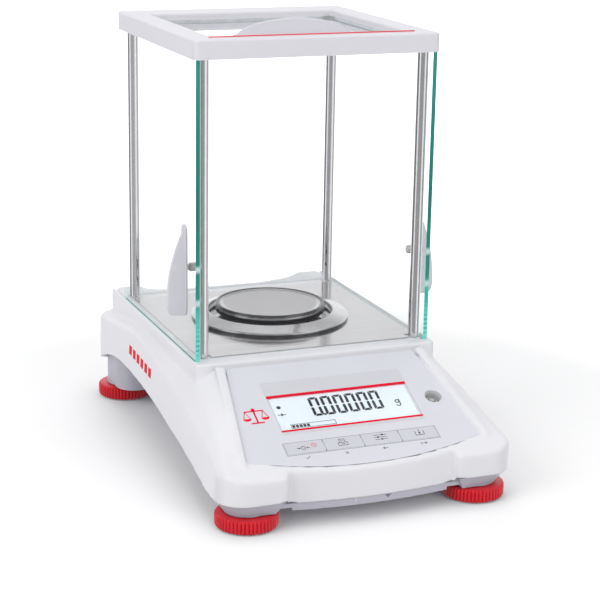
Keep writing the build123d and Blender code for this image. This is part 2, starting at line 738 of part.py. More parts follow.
with BuildPart() as anti_draft_ring:
    with BuildSketch(AXIAL):
        Polygon((57.8, 84.34), (57.8, 86.6), (57.0, 87.2), (46.6, 90.1), (45.8, 89.9), (45.5, 89.3), (45.5, 85.0),
                (46.3, 85.0), (46.3, 89.2), (56.9, 86.3), (56.9, 84.34), align=None)
    revolve(axis=LOAD_AXIS)
save(anti_draft_ring, "anti_draft_ring")

with BuildPart() as floor_plate:
    with BuildSketch(Plane.XY.offset(DECK_Z + 0.02)):
        with Locations((0, 32.6)):
            RectangleRounded(163.6, 158.8, 1.5)
        with Locations((-79.7, -43.7), (79.7, -43.7)):
            Rectangle(12.2, 9, mode=Mode.SUBTRACT)
        with Locations((0, LOAD_Y)):
            Circle(20, mode=Mode.SUBTRACT)
    extrude(amount=0.78)
save(floor_plate, "floor_plate")

# ================================================================= draft shield
with BuildPart() as corner_posts:
    with BuildSketch(Plane.XY.offset(DECK_Z + 0.02)):
        with Locations(*POSTS):
            Circle(POST_R)
    extrude(amount=291.0 - DECK_Z)
    with BuildSketch(Plane.XY.offset(DECK_Z)):
        with Locations(*POSTS):
            Circle(2.0)
    extrude(amount=16, mode=Mode.SUBTRACT)
save(corner_posts, "corner_posts")

# twelve equal M4 screws: chassis plate on the tray, weigh cell on the chassis, posts on the deck
CHASSIS_PTS = [(-50, 0), (50, 0), (-50, 122), (50, 122)]
CELL_PTS = [(-15, 56), (15, 56), (-15, 118), (15, 118)]
with BuildPart() as m4_screws:
    with BuildSketch(Plane.XY.offset(26.02)):
        with Locations(*CHASSIS_PTS):
            Circle(3.5)
    extrude(amount=2.4)
    with BuildSketch(Plane.XY.offset(16.62)):
        with Locations(*CHASSIS_PTS):
            Circle(1.9)
    extrude(amount=9.4)
    with BuildSketch(Plane.XY.offset(27.0)):
        with Locations(*CHASSIS_PTS):
            RegularPolygon(1.7, 6)
    extrude(amount=3, mode=Mode.SUBTRACT)
    with BuildSketch(Plane.XY.offset(17.6)):
        with Locations(*CELL_PTS):
            Circle(3.5)
    extrude(amount=2.4)
    with BuildSketch(Plane.XY.offset(20.0)):
        with Locations(*CELL_PTS):
            Circle(1.9)
    extrude(amount=9.4)
    with BuildSketch(Plane.XY.offset(16.6)):
        with Locations(*CELL_PTS):
            RegularPolygon(1.7, 6)
    extrude(amount=2.4, mode=Mode.SUBTRACT)
    with BuildSketch(Plane.XY.offset(77.0)):
        with Locations(*POSTS):
            Circle(3.5)
    extrude(amount=2.4)
    with BuildSketch(Plane.XY.offset(79.4)):
        with Locations(*POSTS):
            Circle(1.9)
    extrude(amount=9.4)
    with BuildSketch(Plane.XY.offset(76.0)):
        with Locations(*POSTS):
            RegularPolygon(1.7, 6)
    extrude(amount=2.4, mode=Mode.SUBTRACT)
save(m4_screws, "m4_screws")

for name, y in {"front_glass": -49.5, "rear_glass": 124.0}.items():
    with BuildPart() as pane:
        with BuildSketch(Plane.XY.offset(82.1)):
            with Locations((0, y)):
                Rectangle(166, GLASS_T)
        extrude(amount=206.7)
    save(pane, name)

for name, s in {"left_door_glass": -1, "right_door_glass": 1}.items():
    with BuildPart() as pane:
        with BuildSketch(Plane.XY.offset(81.7)):
            with Locations((s * (DOOR_X - GLASS_T / 2), (CH_Y0 + CH_Y1) / 2)):
                Rectangle(GLASS_T, CH_Y1 - CH_Y0)
        extrude(amount=207.9)
        with BuildSketch(Plane.YZ.offset(s * 80)):
            with Locations((-28.5, 143.8)):
                Circle(2.1)
        extrude(amount=s * 10, mode=Mode.SUBTRACT)
    save(pane, name)

for name, s in {"left_door_handle": -1, "right_door_handle": 1}.items():
    with BuildPart() as handle:
        # finger fin standing out of the glass
        with BuildSketch(Plane.XZ.offset(25.5)):
            with BuildLine():
                Line((s * 86.55, 110.7), (s * 86.55, 173.9))
                Spline((s * 86.55, 173.9), (s * 94.0, 154.0), (s * 98.6, 134.5), (s * 100.1, 120.5), (s * 99.6, 114.2))
                ThreePointArc((s * 99.6, 114.2), (s * 97.6, 111.5), (s * 94.4, 110.7))
                Line((s * 94.4, 110.7), (s * 86.55, 110.7))
            make_face()
        extrude(amount=6)
        # foot of the fin on the glass
        with BuildSketch(Plane.YZ.offset(s * 86.55)):
            with Locations((-28.5, 142.3)):
                SlotOverall(63.2, 11, rotation=90)
        extrude(amount=s * 1.3)
        with BuildSketch(Plane.YZ.offset(s * 79.6)):
            with Locations((-28.5, 143.8)):
                Circle(2.0)
        extrude(amount=s * 8)
    save(handle, name)

for name, s in {"left_door_knob": -1, "right_door_knob": 1}.items():
    with BuildPart() as knob:
        with BuildSketch(Plane.YZ.offset(s * 79.0)):
            with Locations((-28.5, 143.8)):
                Circle(3.1)
        extrude(amount=s * 4.45)
        fillet(knob.edges().sort_by(Axis.X)[0 if s > 0 else -1], 0.8)
        with BuildSketch(Plane.YZ.offset(s * 79.5)):
            with Locations((-28.5, 143.8)):
                Circle(2.03)
        extrude(amount=s * 5, mode=Mode.SUBTRACT)
    save(knob, name)

with BuildPart() as top_frame:
    with BuildSketch(Plane.XY.offset(FRAME_Z0)):
        with Locations((0, 37.75)):
            RectangleRounded(176.5, 180.5, 4)
        with Locations((0, 31)):
            RectangleRounded(141, 138, 2, mode=Mode.SUBTRACT)
    extrude(amount=FRAME_Z1 - FRAME_Z0)
    fillet(top_frame.faces().sort_by(Axis.Z)[-1].edges(), 1.5)
    # guide groove of the top door, open through the rear bar
    with BuildSketch(Plane.XY.offset(292)):
        with Locations((0, 46)):
            Rectangle(150.4, 168.8)
    extrude(amount=3.4, mode=Mode.SUBTRACT)
    # grooves of the side doors, open at the rear, and seats of the fixed glass
    with BuildSketch(Plane.XY.offset(286)):
        with Locations((-85, 40), (85, 40)):
            Rectangle(3.4, 182.4)
    extrude(amount=4, mode=Mode.SUBTRACT)
    with BuildSketch(Plane.XY.offset(286)):
        with Locations((0, -49.5), (0, 124.0)):
            Rectangle(167, 3.4)
    extrude(amount=3, mode=Mode.SUBTRACT)
    with BuildSketch(Plane.XY.offset(286)):
        with Locations(*POSTS):
            Circle(POST_R + 0.03)
    extrude(amount=5.2, mode=Mode.SUBTRACT)
    with BuildSketch(Plane.XY.offset(FRAME_Z1 - 0.8)):
        with Locations((0, -39.6)):
            Rectangle(148.2, 1.3)
    extrude(amount=3, mode=Mode.SUBTRACT)
save(top_frame, "top_frame")

with BuildPart() as accent_strip:
    with BuildSketch(Plane.XY.offset(FRAME_Z1 - 0.78)):
        with Locations((0, -39.6)):
            Rectangle(148, 1.2)
    extrude(amount=0.9)
save(accent_strip, "accent_strip")

with BuildPart() as top_door_glass:
    with BuildSketch(Plane.XY.offset(292.2)):
        with Locations((0, 33.25)):
            Rectangle(149.8, 141.5)
    extrude(amount=GLASS_T)
save(top_door_glass, "top_door_glass")

with BuildPart() as top_door_handle:
    with BuildSketch(Plane.XY.offset(295.22)):
        with Locations((0, -3)):
            SlotOverall(88, 9)
    extrude(amount=1.2)
    with BuildSketch(Plane.XZ.offset(1.2)):
        with BuildLine():
            Line((-42, 296.3), (42, 296.3))
            Line((42, 296.3), (42, 298.9))
            ThreePointArc((42, 298.9), (0, TOTAL_H), (-42, 298.9))
            Line((-42, 298.9), (-42, 296.3))
        make_face()
    extrude(amount=3.6)
save(top_door_handle, "top_door_handle")

with BuildPart() as housing_screws:
    with BuildSketch(Plane.XY.offset(11.2)):
        with Locations(*HOUSING_SCREWS):
            Circle(3.4)
    extrude(amount=2.2)
    with BuildSketch(Plane.XY.offset(13.4)):
        with Locations(*HOUSING_SCREWS):
            Circle(1.55)
    extrude(amount=20)
    with BuildSketch(Plane.XY.offset(11.2)):
        with Locations(*HOUSING_SCREWS):
            Rectangle(4, 0.9)
            Rectangle(0.9, 4)
    extrude(amount=1.2, mode=Mode.SUBTRACT)
save(housing_screws, "housing_screws")
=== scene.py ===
import bpy, bmesh, json, math, random
from mathutils import Vector, Matrix


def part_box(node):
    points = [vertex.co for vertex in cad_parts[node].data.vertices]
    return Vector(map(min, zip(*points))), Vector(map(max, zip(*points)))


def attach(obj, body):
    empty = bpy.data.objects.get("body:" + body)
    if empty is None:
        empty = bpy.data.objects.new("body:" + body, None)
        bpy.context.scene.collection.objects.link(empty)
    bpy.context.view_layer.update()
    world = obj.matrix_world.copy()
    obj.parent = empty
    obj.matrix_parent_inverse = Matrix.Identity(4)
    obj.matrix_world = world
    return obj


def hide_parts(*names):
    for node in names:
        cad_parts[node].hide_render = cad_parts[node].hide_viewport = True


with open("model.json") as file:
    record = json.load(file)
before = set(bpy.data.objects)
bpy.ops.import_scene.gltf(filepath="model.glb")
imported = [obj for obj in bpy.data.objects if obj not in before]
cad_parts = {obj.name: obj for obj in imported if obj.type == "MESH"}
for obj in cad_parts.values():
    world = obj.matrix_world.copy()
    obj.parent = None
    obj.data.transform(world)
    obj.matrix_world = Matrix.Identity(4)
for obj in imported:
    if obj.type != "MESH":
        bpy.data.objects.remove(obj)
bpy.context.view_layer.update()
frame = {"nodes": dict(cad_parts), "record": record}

S = bpy.context.scene
MM = 0.001
NODES = frame["nodes"]

# ------------------------------------------------------------------ node helpers
class NT:
    """Small wrapper that builds a material's node tree."""
    def __init__(self, name):
        self.mat = bpy.data.materials.new(name)
        self.mat.use_nodes = True
        self.t = self.mat.node_tree
        self.t.nodes.clear()
        self.out = self.n("ShaderNodeOutputMaterial")
        self.tc = self.n("ShaderNodeTexCoord")
        self.obj = self.tc.outputs["Object"]

    def n(self, kind, **kw):
        nd = self.t.nodes.new(kind)
        for k, v in kw.items():
            setattr(nd, k, v)
        return nd

    def link(self, a, b):
        self.t.links.new(a, b)

    def set(self, sock, v):
        if hasattr(v, "links") or isinstance(v, bpy.types.NodeSocket):
            self.link(v, sock)
        else:
            sock.default_value = v

    def math(self, op, a, b=None, c=None, clamp=False):
        nd = self.n("ShaderNodeMath", operation=op, use_clamp=clamp)
        self.set(nd.inputs[0], a)
        if b is not None:
            self.set(nd.inputs[1], b)
        if c is not None:
            self.set(nd.inputs[2], c)
        return nd.outputs[0]

    def vmath(self, op, a, b=None, out=0):
        nd = self.n("ShaderNodeVectorMath", operation=op)
        self.set(nd.inputs[0], a)
        if b is not None:
            self.set(nd.inputs[1], b)
        return nd.outputs[out]

    def noise(self, scale, detail=3.0, rough=0.55, vec=None, dist=0.0):
        nd = self.n("ShaderNodeTexNoise")
        self.link(vec if vec is not None else self.obj, nd.inputs["Vector"])
        nd.inputs["Scale"].default_value = scale
        nd.inputs["Detail"].default_value = detail
        nd.inputs["Roughness"].default_value = rough
        nd.inputs["Distortion"].default_value = dist
        return nd.outputs["Fac"]

    def ramp(self, fac, stops, interp="LINEAR"):
        nd = self.n("ShaderNodeValToRGB")
        nd.color_ramp.interpolation = interp
        el = nd.color_ramp.elements
        while len(el) > len(stops):
            el.remove(el[-1])
        while len(el) < len(stops):
            el.new(1.0)
        for e, (p, c) in zip(el, stops):
            e.position = p
            e.color = c if len(c) == 4 else (*c, 1.0)
        self.link(fac, nd.inputs["Fac"])
        return nd.outputs["Color"]

    def maprange(self, v, a, b, c, d):
        nd = self.n("ShaderNodeMapRange")
        self.set(nd.inputs["Value"], v)
        nd.inputs["From Min"].default_value = a
        nd.inputs["From Max"].default_value = b
        nd.inputs["To Min"].default_value = c
        nd.inputs["To Max"].default_value = d
        return nd.outputs["Result"]

    def scale(self, vec, s):
        nd = self.n("ShaderNodeMapping")
        self.link(vec, nd.inputs["Vector"])
        nd.inputs["Scale"].default_value = s
        return nd.outputs["Vector"]

    def bump(self, height, strength=0.1, dist=0.0002, normal=None):
        nd = self.n("ShaderNodeBump")
        nd.inputs["Strength"].default_value = strength
        nd.inputs["Distance"].default_value = dist
        self.link(height, nd.inputs["Height"])
        if normal is not None:
            self.link(normal, nd.inputs["Normal"])
        return nd.outputs["Normal"]

    def mixc(self, fac, a, b):
        nd = self.n("ShaderNodeMix", data_type="RGBA")
        self.set(nd.inputs[0], fac)
        self.set(nd.inputs[6], a if not isinstance(a, tuple) else (*a[:3], 1.0))
        self.set(nd.inputs[7], b if not isinstance(b, tuple) else (*b[:3], 1.0))
        return nd.outputs[2]

    def bsdf(self, **kw):
        nd = self.n("ShaderNodeBsdfPrincipled")
        for k, v in kw.items():
            self.set(nd.inputs[k.replace("_", " ")], v)
        return nd

    def done(self, shader):
        self.link(shader, self.out.inputs["Surface"])
        return self.mat


def c3(r, g, b):
    """Linear colour of an 8-bit sRGB value."""
    f = lambda v: (v / 255 / 12.92) if v / 255 <= 0.04045 else ((v / 255 + 0.055) / 1.055) ** 2.4
    return (f(r), f(g), f(b), 1.0)


def plastic(name, col, rough=0.38, grain=1800.0, bump=0.05, var=0.03, spec=0.5, coat=0.0):
    """Moulded plastic: faint cloudy tone, fine eroded grain, tiny roughness changes."""
    m = NT(name)
    big = m.noise(14.0, 3.0)
    fine = m.noise(grain, 4.0, 0.65)
    mid = m.noise(grain / 6.0, 2.0)
    lo = tuple(c * (1 - var) for c in col[:3])
    hi = tuple(min(1.0, c * (1 + var)) for c in col[:3])
    base = m.mixc(m.maprange(big, 0.3, 0.7, 0.0, 1.0), lo, hi)
    r = m.math("ADD", m.maprange(fine, 0.3, 0.7, -0.05, 0.05), rough)
    h = m.math("ADD", fine, m.math("MULTIPLY", mid, 0.6))
    p = m.bsdf(Base_Color=base, Roughness=r, Normal=m.bump(h, bump, 0.00012), IOR=1.46)
    p.inputs["Specular IOR Level"].default_value = spec
    p.inputs["Coat Weight"].default_value = coat
    p.inputs["Coat Roughness"].default_value = 0.12
    return m.done(p.outputs[0])


def tame_bounce(mat, grey=0.16):
    """Keeps a strong colour from tinting the floor beside it."""
    t = mat.node_tree
    p = next(n for n in t.nodes if n.type == "BSDF_PRINCIPLED")
    src = p.inputs["Base Color"].links[0].from_socket
    lp = t.nodes.new("ShaderNodeLightPath"); mx = t.nodes.new("ShaderNodeMix"); mx.data_type = "RGBA"
    t.links.new(lp.outputs["Is Diffuse Ray"], mx.inputs[0]); t.links.new(src, mx.inputs[6])
    mx.inputs[7].default_value = (grey * 1.2, grey * 0.8, grey * 0.8, 1)
    t.links.new(mx.outputs[2], p.inputs["Base Color"])
    return mat


def brushed(name, col, rough=0.28, axis="x", metallic=1.0, strength=0.12, scale=1.0):
    """Brushed metal with streaks along one axis, or circular about the weighing axis."""
    m = NT(name)
    if axis == "circle":
        d = m.vmath("SUBTRACT", m.obj, (0.0, 0.0365, 0.0))
        sep = m.n("ShaderNodeSeparateXYZ"); m.link(d, sep.inputs[0])
        r2 = m.math("SQRT", m.math("ADD", m.math("POWER", sep.outputs[0], 2.0), m.math("POWER", sep.outputs[1], 2.0)))
        ang = m.math("ARCTAN2", sep.outputs[1], sep.outputs[0])
        cmb = m.n("ShaderNodeCombineXYZ")
        m.link(m.math("MULTIPLY", r2, 3800.0 * scale), cmb.inputs[0])
        m.link(m.math("MULTIPLY", ang, 2.2), cmb.inputs[1])
        vec = cmb.outputs[0]
        streak = m.noise(1.0, 3.0, 0.7, vec=vec)
        streak2 = m.noise(0.25, 2.0, 0.5, vec=vec)
    else:
        sc = {"x": (30, 4200, 4200), "y": (4200, 30, 4200), "z": (4200, 4200, 30)}[axis]
        vec = m.scale(m.obj, tuple(v * scale for v in sc))
        streak = m.noise(1.0, 3.0, 0.7, vec=vec)
        streak2 = m.noise(0.22, 2.0, 0.5, vec=vec)
    lo = tuple(c * 0.86 for c in col[:3]); hi = tuple(min(1, c * 1.08) for c in col[:3])
    base = m.mixc(m.maprange(streak, 0.25, 0.75, 0.0, 1.0), lo, hi)
    r = m.math("ADD", m.maprange(streak2, 0.3, 0.7, -0.07, 0.07), rough)
    p = m.bsdf(Base_Color=base, Roughness=r, Metallic=metallic, Normal=m.bump(streak, strength, 0.00003))
    return m.done(p.outputs[0])


def polished(name, col, rough=0.07):
    """Polished metal: faint smears in the roughness and very faint lapping lines."""
    m = NT(name)
    sm = m.noise(90.0, 4.0, 0.6)
    fine = m.noise(2600.0, 2.0)
    r = m.math("ADD", m.maprange(sm, 0.35, 0.7, -0.02, 0.05), rough)
    base = m.mixc(m.maprange(sm, 0.3, 0.7, 0, 1), tuple(c * 0.95 for c in col[:3]), tuple(min(1, c * 1.03) for c in col[:3]))
    p = m.bsdf(Base_Color=base, Roughness=r, Metallic=1.0, Normal=m.bump(fine, 0.02, 0.00002))
    return m.done(p.outputs[0])


def pan_metal(name):
    """Weighing pan: satin dish with fine circular brushing, polished rim, and painted dark reflection lines on the
    rim's top and lower side.
    """
    m = NT(name)
    d = m.vmath("SUBTRACT", m.obj, (0.0, 0.0365, 0.0))
    sep = m.n("ShaderNodeSeparateXYZ"); m.link(d, sep.inputs[0])
    r = m.math("SQRT", m.math("ADD", m.math("POWER", sep.outputs[0], 2.0), m.math("POWER", sep.outputs[1], 2.0)))
    cmb = m.n("ShaderNodeCombineXYZ")
    m.link(m.math("MULTIPLY", r, 5200.0), cmb.inputs[0]); m.link(m.math("ARCTAN2", sep.outputs[1], sep.outputs[0]), cmb.inputs[1])
    streak = m.noise(1.0, 2.0, 0.6, vec=cmb.outputs[0])
    rim = m.maprange(r, 0.0338, 0.0346, 0.0, 1.0)
    base = m.mixc(m.maprange(streak, 0.25, 0.75, 0.0, 1.0), (0.49, 0.48, 0.485), (0.56, 0.55, 0.555))
    sz = m.n("ShaderNodeSeparateXYZ"); m.link(m.obj, sz.inputs[0])
    # painted reflection: a dark line on the rim's top and a dark band low on its outer side, put into the base colour
    band = m.math("MULTIPLY", m.maprange(r, 0.0366, 0.0374, 0.0, 1.0), m.maprange(sz.outputs[2], 0.0928, 0.0936, 0.0, 1.0), clamp=True)
    low = m.math("MULTIPLY", m.maprange(r, 0.0385, 0.0390, 0.0, 1.0), m.maprange(sz.outputs[2], 0.0912, 0.0920, 1.0, 0.0), clamp=True)
    base = m.mixc(m.math("MAXIMUM", band, low), base, (0.13, 0.13, 0.135))
    rough = m.math("ADD", m.maprange(rim, 0.0, 1.0, 0.30, 0.10), m.maprange(streak, 0.3, 0.7, -0.03, 0.03))
    bs = m.bump(streak, 0.05, 0.00002)
    p = m.bsdf(Base_Color=base, Roughness=rough, Metallic=1.0, Normal=bs)
    return m.done(p.outputs[0])


def ring_metal(name):
    """Anti-draft ring: bright satin slope, with painted shade darkening the rolled foot and the inner lip."""
    m = NT(name)
    d = m.vmath("SUBTRACT", m.obj, (0.0, 0.0365, 0.0))
    sep = m.n("ShaderNodeSeparateXYZ"); m.link(d, sep.inputs[0])
    r = m.math("SQRT", m.math("ADD", m.math("POWER", sep.outputs[0], 2.0), m.math("POWER", sep.outputs[1], 2.0)))
    sm = m.noise(90.0, 4.0, 0.6); fine = m.noise(2600.0, 2.0)
    # painted shade: the rolled foot and the inner lip are darkened in the base colour
    foot = m.maprange(sep.outputs[2], 0.08585, 0.08615, 1.0, 0.0)
    lip = m.math("MULTIPLY", m.maprange(r, 0.0462, 0.0468, 1.0, 0.0), m.maprange(sep.outputs[2], 0.0888, 0.0892, 0.0, 1.0), clamp=True)
    base = m.mixc(m.maprange(sm, 0.3, 0.7, 0, 1), (0.66, 0.655, 0.66), (0.72, 0.715, 0.72))
    base = m.mixc(foot, base, (0.12, 0.12, 0.125))
    base = m.mixc(m.math("MULTIPLY", lip, 0.6), base, (0.16, 0.16, 0.165))
    p = m.bsdf(Base_Color=base, Roughness=m.math("ADD", m.maprange(sm, 0.35, 0.7, -0.02, 0.05), 0.10), Metallic=1.0, Normal=m.bump(fine, 0.02, 0.00002))
    return m.done(p.outputs[0])


def pane_glass(name):
    """Clear sheet glass seen through: mostly transparent, with a grazing reflection and faint wipe marks."""
    m = NT(name)
    sm = m.noise(22.0, 4.0, 0.6)
    lw = m.n("ShaderNodeLayerWeight"); lw.inputs["Blend"].default_value = 0.12
    fac = m.math("ADD", m.math("MULTIPLY", lw.outputs["Facing"], 0.16), 0.012, clamp=True)
    tr = m.n("ShaderNodeBsdfTransparent"); tr.inputs["Color"].default_value = (0.985, 0.991, 0.989, 1)
    gl = m.n("ShaderNodeBsdfGlossy")
    gl.inputs["Color"].default_value = (0.95, 0.98, 0.97, 1)
    m.link(m.maprange(sm, 0.3, 0.7, 0.0, 0.03), gl.inputs["Roughness"])
    mx = m.n("ShaderNodeMixShader")
    m.link(fac, mx.inputs[0]); m.link(tr.outputs[0], mx.inputs[1]); m.link(gl.outputs[0], mx.inputs[2])
    return m.done(mx.outputs[0])


def glass_edge(name):
    """Ground edge of the sheet glass in its own green, lighter turquoise towards the deck; pale spots are painted
    reflections of the grip's bolts, dark and bright ticks are painted reflections of the ring, and a faint emission
    adds a painted glow.
    """
    m = NT(name)
    sep = m.n("ShaderNodeSeparateXYZ"); m.link(m.obj, sep.inputs[0])
    n1 = m.noise(60.0, 3.0)
    z = m.math("ADD", sep.outputs[2], m.maprange(n1, 0.3, 0.7, -0.006, 0.006))
    col = m.ramp(m.maprange(z, 0.08, 0.29, 0.0, 1.0), [
        (0.0, c3(112, 222, 208)), (0.10, c3(96, 216, 204)), (0.19, c3(62, 176, 160)), (0.23, c3(40, 142, 128)),
        (0.5, c3(28, 120, 106)), (0.8, c3(36, 132, 120)), (1.0, c3(50, 140, 130))])
    # painted reflection: pale spots where the grip's bolts show in the edge
    for zc in (0.1472, 0.1239):
        d = m.math("ABSOLUTE", m.math("SUBTRACT", sep.outputs[2], zc))
        painted_bolt_reflection = m.maprange(d, 0.0008, 0.0032, 1.0, 0.0)
        col = m.mixc(m.math("MULTIPLY", painted_bolt_reflection, 0.85, clamp=True), col, c3(196, 232, 224))
    # painted reflection: dark and bright ticks of the ring seen end-on, low in the sheet
    wv = m.n("ShaderNodeTexWave", wave_type="BANDS", bands_direction="Z")
    m.link(m.obj, wv.inputs["Vector"]); wv.inputs["Scale"].default_value = 95.0; wv.inputs["Distortion"].default_value = 2.0
    low = m.maprange(sep.outputs[2], 0.098, 0.116, 1.0, 0.0)
    low2 = m.maprange(sep.outputs[2], 0.084, 0.090, 0.0, 1.0)
    tick = m.math("MULTIPLY", m.math("MULTIPLY", low, low2), m.maprange(wv.outputs["Fac"], 0.35, 0.75, 0.0, 0.42), clamp=True)
    col = m.mixc(tick, col, c3(30, 110, 104))
    fine = m.noise(900.0, 3.0)
    p = m.bsdf(Base_Color=col, Roughness=m.maprange(fine, 0.3, 0.7, 0.12, 0.3), Normal=m.bump(fine, 0.06, 0.0001))
    # faint emission of the edge colour: a painted glow
    m.link(col, p.inputs["Emission Color"])
    p.inputs["Emission Strength"].default_value = 0.12
    p.inputs["Specular IOR Level"].default_value = 0.25
    return m.done(p.outputs[0])


def edge_soft(name, tint, mix):
    """Glass edge seen through the sheet: a pale green veil, with a faint emission as a painted glow."""
    m = NT(name)
    n1 = m.noise(140.0, 3.0)
    tr = m.n("ShaderNodeBsdfTransparent"); tr.inputs["Color"].default_value = (0.93, 0.985, 0.97, 1)
    df = m.n("ShaderNodeBsdfDiffuse"); m.link(m.mixc(n1, tuple(c * 0.9 for c in tint[:3]), tint), df.inputs["Color"])
    # faint emission of the tint: a painted glow
    em = m.n("ShaderNodeEmission"); em.inputs["Color"].default_value = tint; em.inputs["Strength"].default_value = 0.35
    ad = m.n("ShaderNodeAddShader"); m.link(df.outputs[0], ad.inputs[0]); m.link(em.outputs[0], ad.inputs[1])
    mx = m.n("ShaderNodeMixShader")
    m.link(m.maprange(n1, 0.3, 0.7, mix - 0.06, mix + 0.06), mx.inputs[0])
    m.link(tr.outputs[0], mx.inputs[1]); m.link(ad.outputs[0], mx.inputs[2])
    return m.done(mx.outputs[0])


def clear_window(name):
    m = NT(name)
    sm = m.noise(60.0, 3.0)
    lw = m.n("ShaderNodeLayerWeight"); lw.inputs["Blend"].default_value = 0.15
    fac = m.math("ADD", m.math("MULTIPLY", lw.outputs["Facing"], 0.12), 0.03, clamp=True)
    tr = m.n("ShaderNodeBsdfTransparent"); tr.inputs["Color"].default_value = (0.98, 0.99, 1.0, 1)
    gl = m.n("ShaderNodeBsdfGlossy")
    m.link(m.maprange(sm, 0.3, 0.7, 0.05, 0.12), gl.inputs["Roughness"])
    mx = m.n("ShaderNodeMixShader")
    m.link(fac, mx.inputs[0]); m.link(tr.outputs[0], mx.inputs[1]); m.link(gl.outputs[0], mx.inputs[2])
    return m.done(mx.outputs[0])


def board(name):
    """Circuit board: green mask with fine copper tracks under it."""
    m = NT(name)
    br = m.n("ShaderNodeTexBrick")
    m.link(m.scale(m.obj, (260, 260, 260)), br.inputs["Vector"])
    br.inputs["Scale"].default_value = 1.0
    br.inputs["Mortar Size"].default_value = 0.03
    br.inputs["Color1"].default_value = (0.01, 0.10, 0.05, 1)
    br.inputs["Color2"].default_value = (0.012, 0.12, 0.06, 1)
    br.inputs["Mortar"].default_value = (0.05, 0.22, 0.11, 1)
    p = m.bsdf(Base_Color=br.outputs["Color"], Roughness=0.3, Normal=m.bump(br.outputs["Fac"], 0.15, 0.00005))
    return m.done(p.outputs[0])


def glow(name, col, strength=0.35, mottled=0.02):
    """Lit display face with a faint cell pattern."""
    m = NT(name)
    n1 = m.noise(35.0, 2.0)
    cells = m.n("ShaderNodeTexVoronoi"); m.link(m.obj, cells.inputs["Vector"]); cells.inputs["Scale"].default_value = 2600.0
    k = m.math("ADD", m.maprange(n1, 0.3, 0.7, -mottled, mottled), m.maprange(cells.outputs["Distance"], 0, 0.6, 0.985, 1.0))
    cc = m.vmath("SCALE", m_rgb(m, col), None)
    nd = cc.node; m.link(k, nd.inputs["Scale"])
    p = m.bsdf(Base_Color=cc, Roughness=0.25)
    m.link(cc, p.inputs["Emission Color"])
    p.inputs["Emission Strength"].default_value = strength
    return m.done(p.outputs[0])


def m_rgb(m, col):
    nd = m.n("ShaderNodeRGB"); nd.outputs[0].default_value = col
    return nd.outputs[0]


# ------------------------------------------------------------------ materials
MAT = {
    "white_plastic": plastic("housing_white", c3(236, 236, 240), 0.34, 1500, 0.045, 0.012, coat=0.12),
    "grey_plastic": plastic("tray_grey", c3(196, 195, 206), 0.45, 1500, 0.08, 0.03),
    "brass_insert": brushed("insert_brass", (0.62, 0.42, 0.16), 0.3, "z"),
    "overlay_film": plastic("overlay_film_grey", c3(223, 224, 231), 0.30, 3200, 0.03, 0.012, coat=0.15),
    "display_window": clear_window("display_window_clear"),
    "display_glass": glow("display_lit_face", c3(236, 244, 248), 0.22),
    "circuit_board": board("board_green"),
    "black_plastic": plastic("moulded_black", c3(30, 30, 33), 0.5, 1500, 0.12, 0.15),
    "rear_panel": plastic("rear_panel_grey", c3(110, 112, 120), 0.5, 1500, 0.12, 0.06),
    "socket_metal": brushed("socket_tin", (0.62, 0.62, 0.64), 0.25, "x"),
    "cable_grey": plastic("ribbon_grey", c3(150, 152, 156), 0.5, 900, 0.1, 0.08),
    "cast_aluminium": plastic("cast_alu", (0.42, 0.42, 0.43), 0.45, 700, 0.35, 0.12),
    "screw_steel": brushed("screw_zinc", (0.55, 0.55, 0.56), 0.3, "x"),
    "cell_aluminium": brushed("milled_alu", (0.66, 0.67, 0.69), 0.28, "y", strength=0.2),
    "coil_copper": brushed("coil_wire", (0.62, 0.25, 0.10), 0.35, "x", strength=0.5),
    "magnet_steel": brushed("ground_steel", (0.28, 0.28, 0.29), 0.35, "x"),
    "pan_steel": pan_metal("pan_brushed"),
    "ring_steel": ring_metal("ring_polished"),
    "floor_steel": brushed("floor_brushed", (0.66, 0.648, 0.648), 0.15, "x", strength=0.05, scale=0.6),
    "post_steel": polished("post_polished", (0.90, 0.885, 0.90), 0.05),
    "clear_glass": pane_glass("pane_clear"),
    # painted shade: the white handle plastic is given the darker grey it shows in shade
    "handle_plastic": plastic("handle_white_painted_shade", c3(222, 221, 228), 0.36, 1800, 0.04, 0.015, coat=0.1),
    "frame_plastic": plastic("frame_white", c3(228, 227, 233), 0.36, 1500, 0.045, 0.012, coat=0.1),
    "red_trim": plastic("trim_red", c3(236, 40, 62), 0.35, 2500, 0.03, 0.05),
    "key_grey": plastic("key_film_grey", c3(212, 213, 220), 0.34, 3200, 0.03, 0.012),
    "pad_rubber": plastic("rubber_dark", c3(42, 42, 44), 0.75, 1100, 0.3, 0.15),
    "red_wheel": tame_bounce(plastic("wheel_red", c3(228, 26, 42), 0.33, 1600, 0.06, 0.05, coat=0.15)),
    "stud_steel": brushed("stud_steel_rolled", (0.55, 0.55, 0.57), 0.28, "z"),
}
_v = NT("vial_liquid_yellow")
_vn = _v.noise(120.0, 2.0)
_vp = _v.bsdf(Base_Color=_v.mixc(_vn, (0.66, 0.67, 0.64), (0.74, 0.75, 0.72)), Roughness=0.05)
_vp.inputs["Transmission Weight"].default_value = 0.35
_vp.inputs["Coat Weight"].default_value = 1.0
MAT["vial_liquid"] = _v.done(_vp.outputs[0])
EDGE = glass_edge("pane_edge_green")
EDGE_PALE = edge_soft("pane_edge_pale", c3(214, 232, 228), 0.12)
EDGE_FAINT = edge_soft("pane_edge_faint", c3(246, 248, 249), 0.5)
EDGE_LOW = edge_soft("pane_edge_low", c3(60, 150, 136), 0.42)
KNOB = plastic("knob_milky", c3(206, 208, 204), 0.3, 1500, 0.04, 0.02, coat=0.2)
INK = plastic("printed_ink_dark", c3(28, 28, 32), 0.45, 3000, 0.02, 0.2)
INK_GREY = plastic("printed_ink_grey", c3(120, 122, 130), 0.45, 3000, 0.02, 0.08)
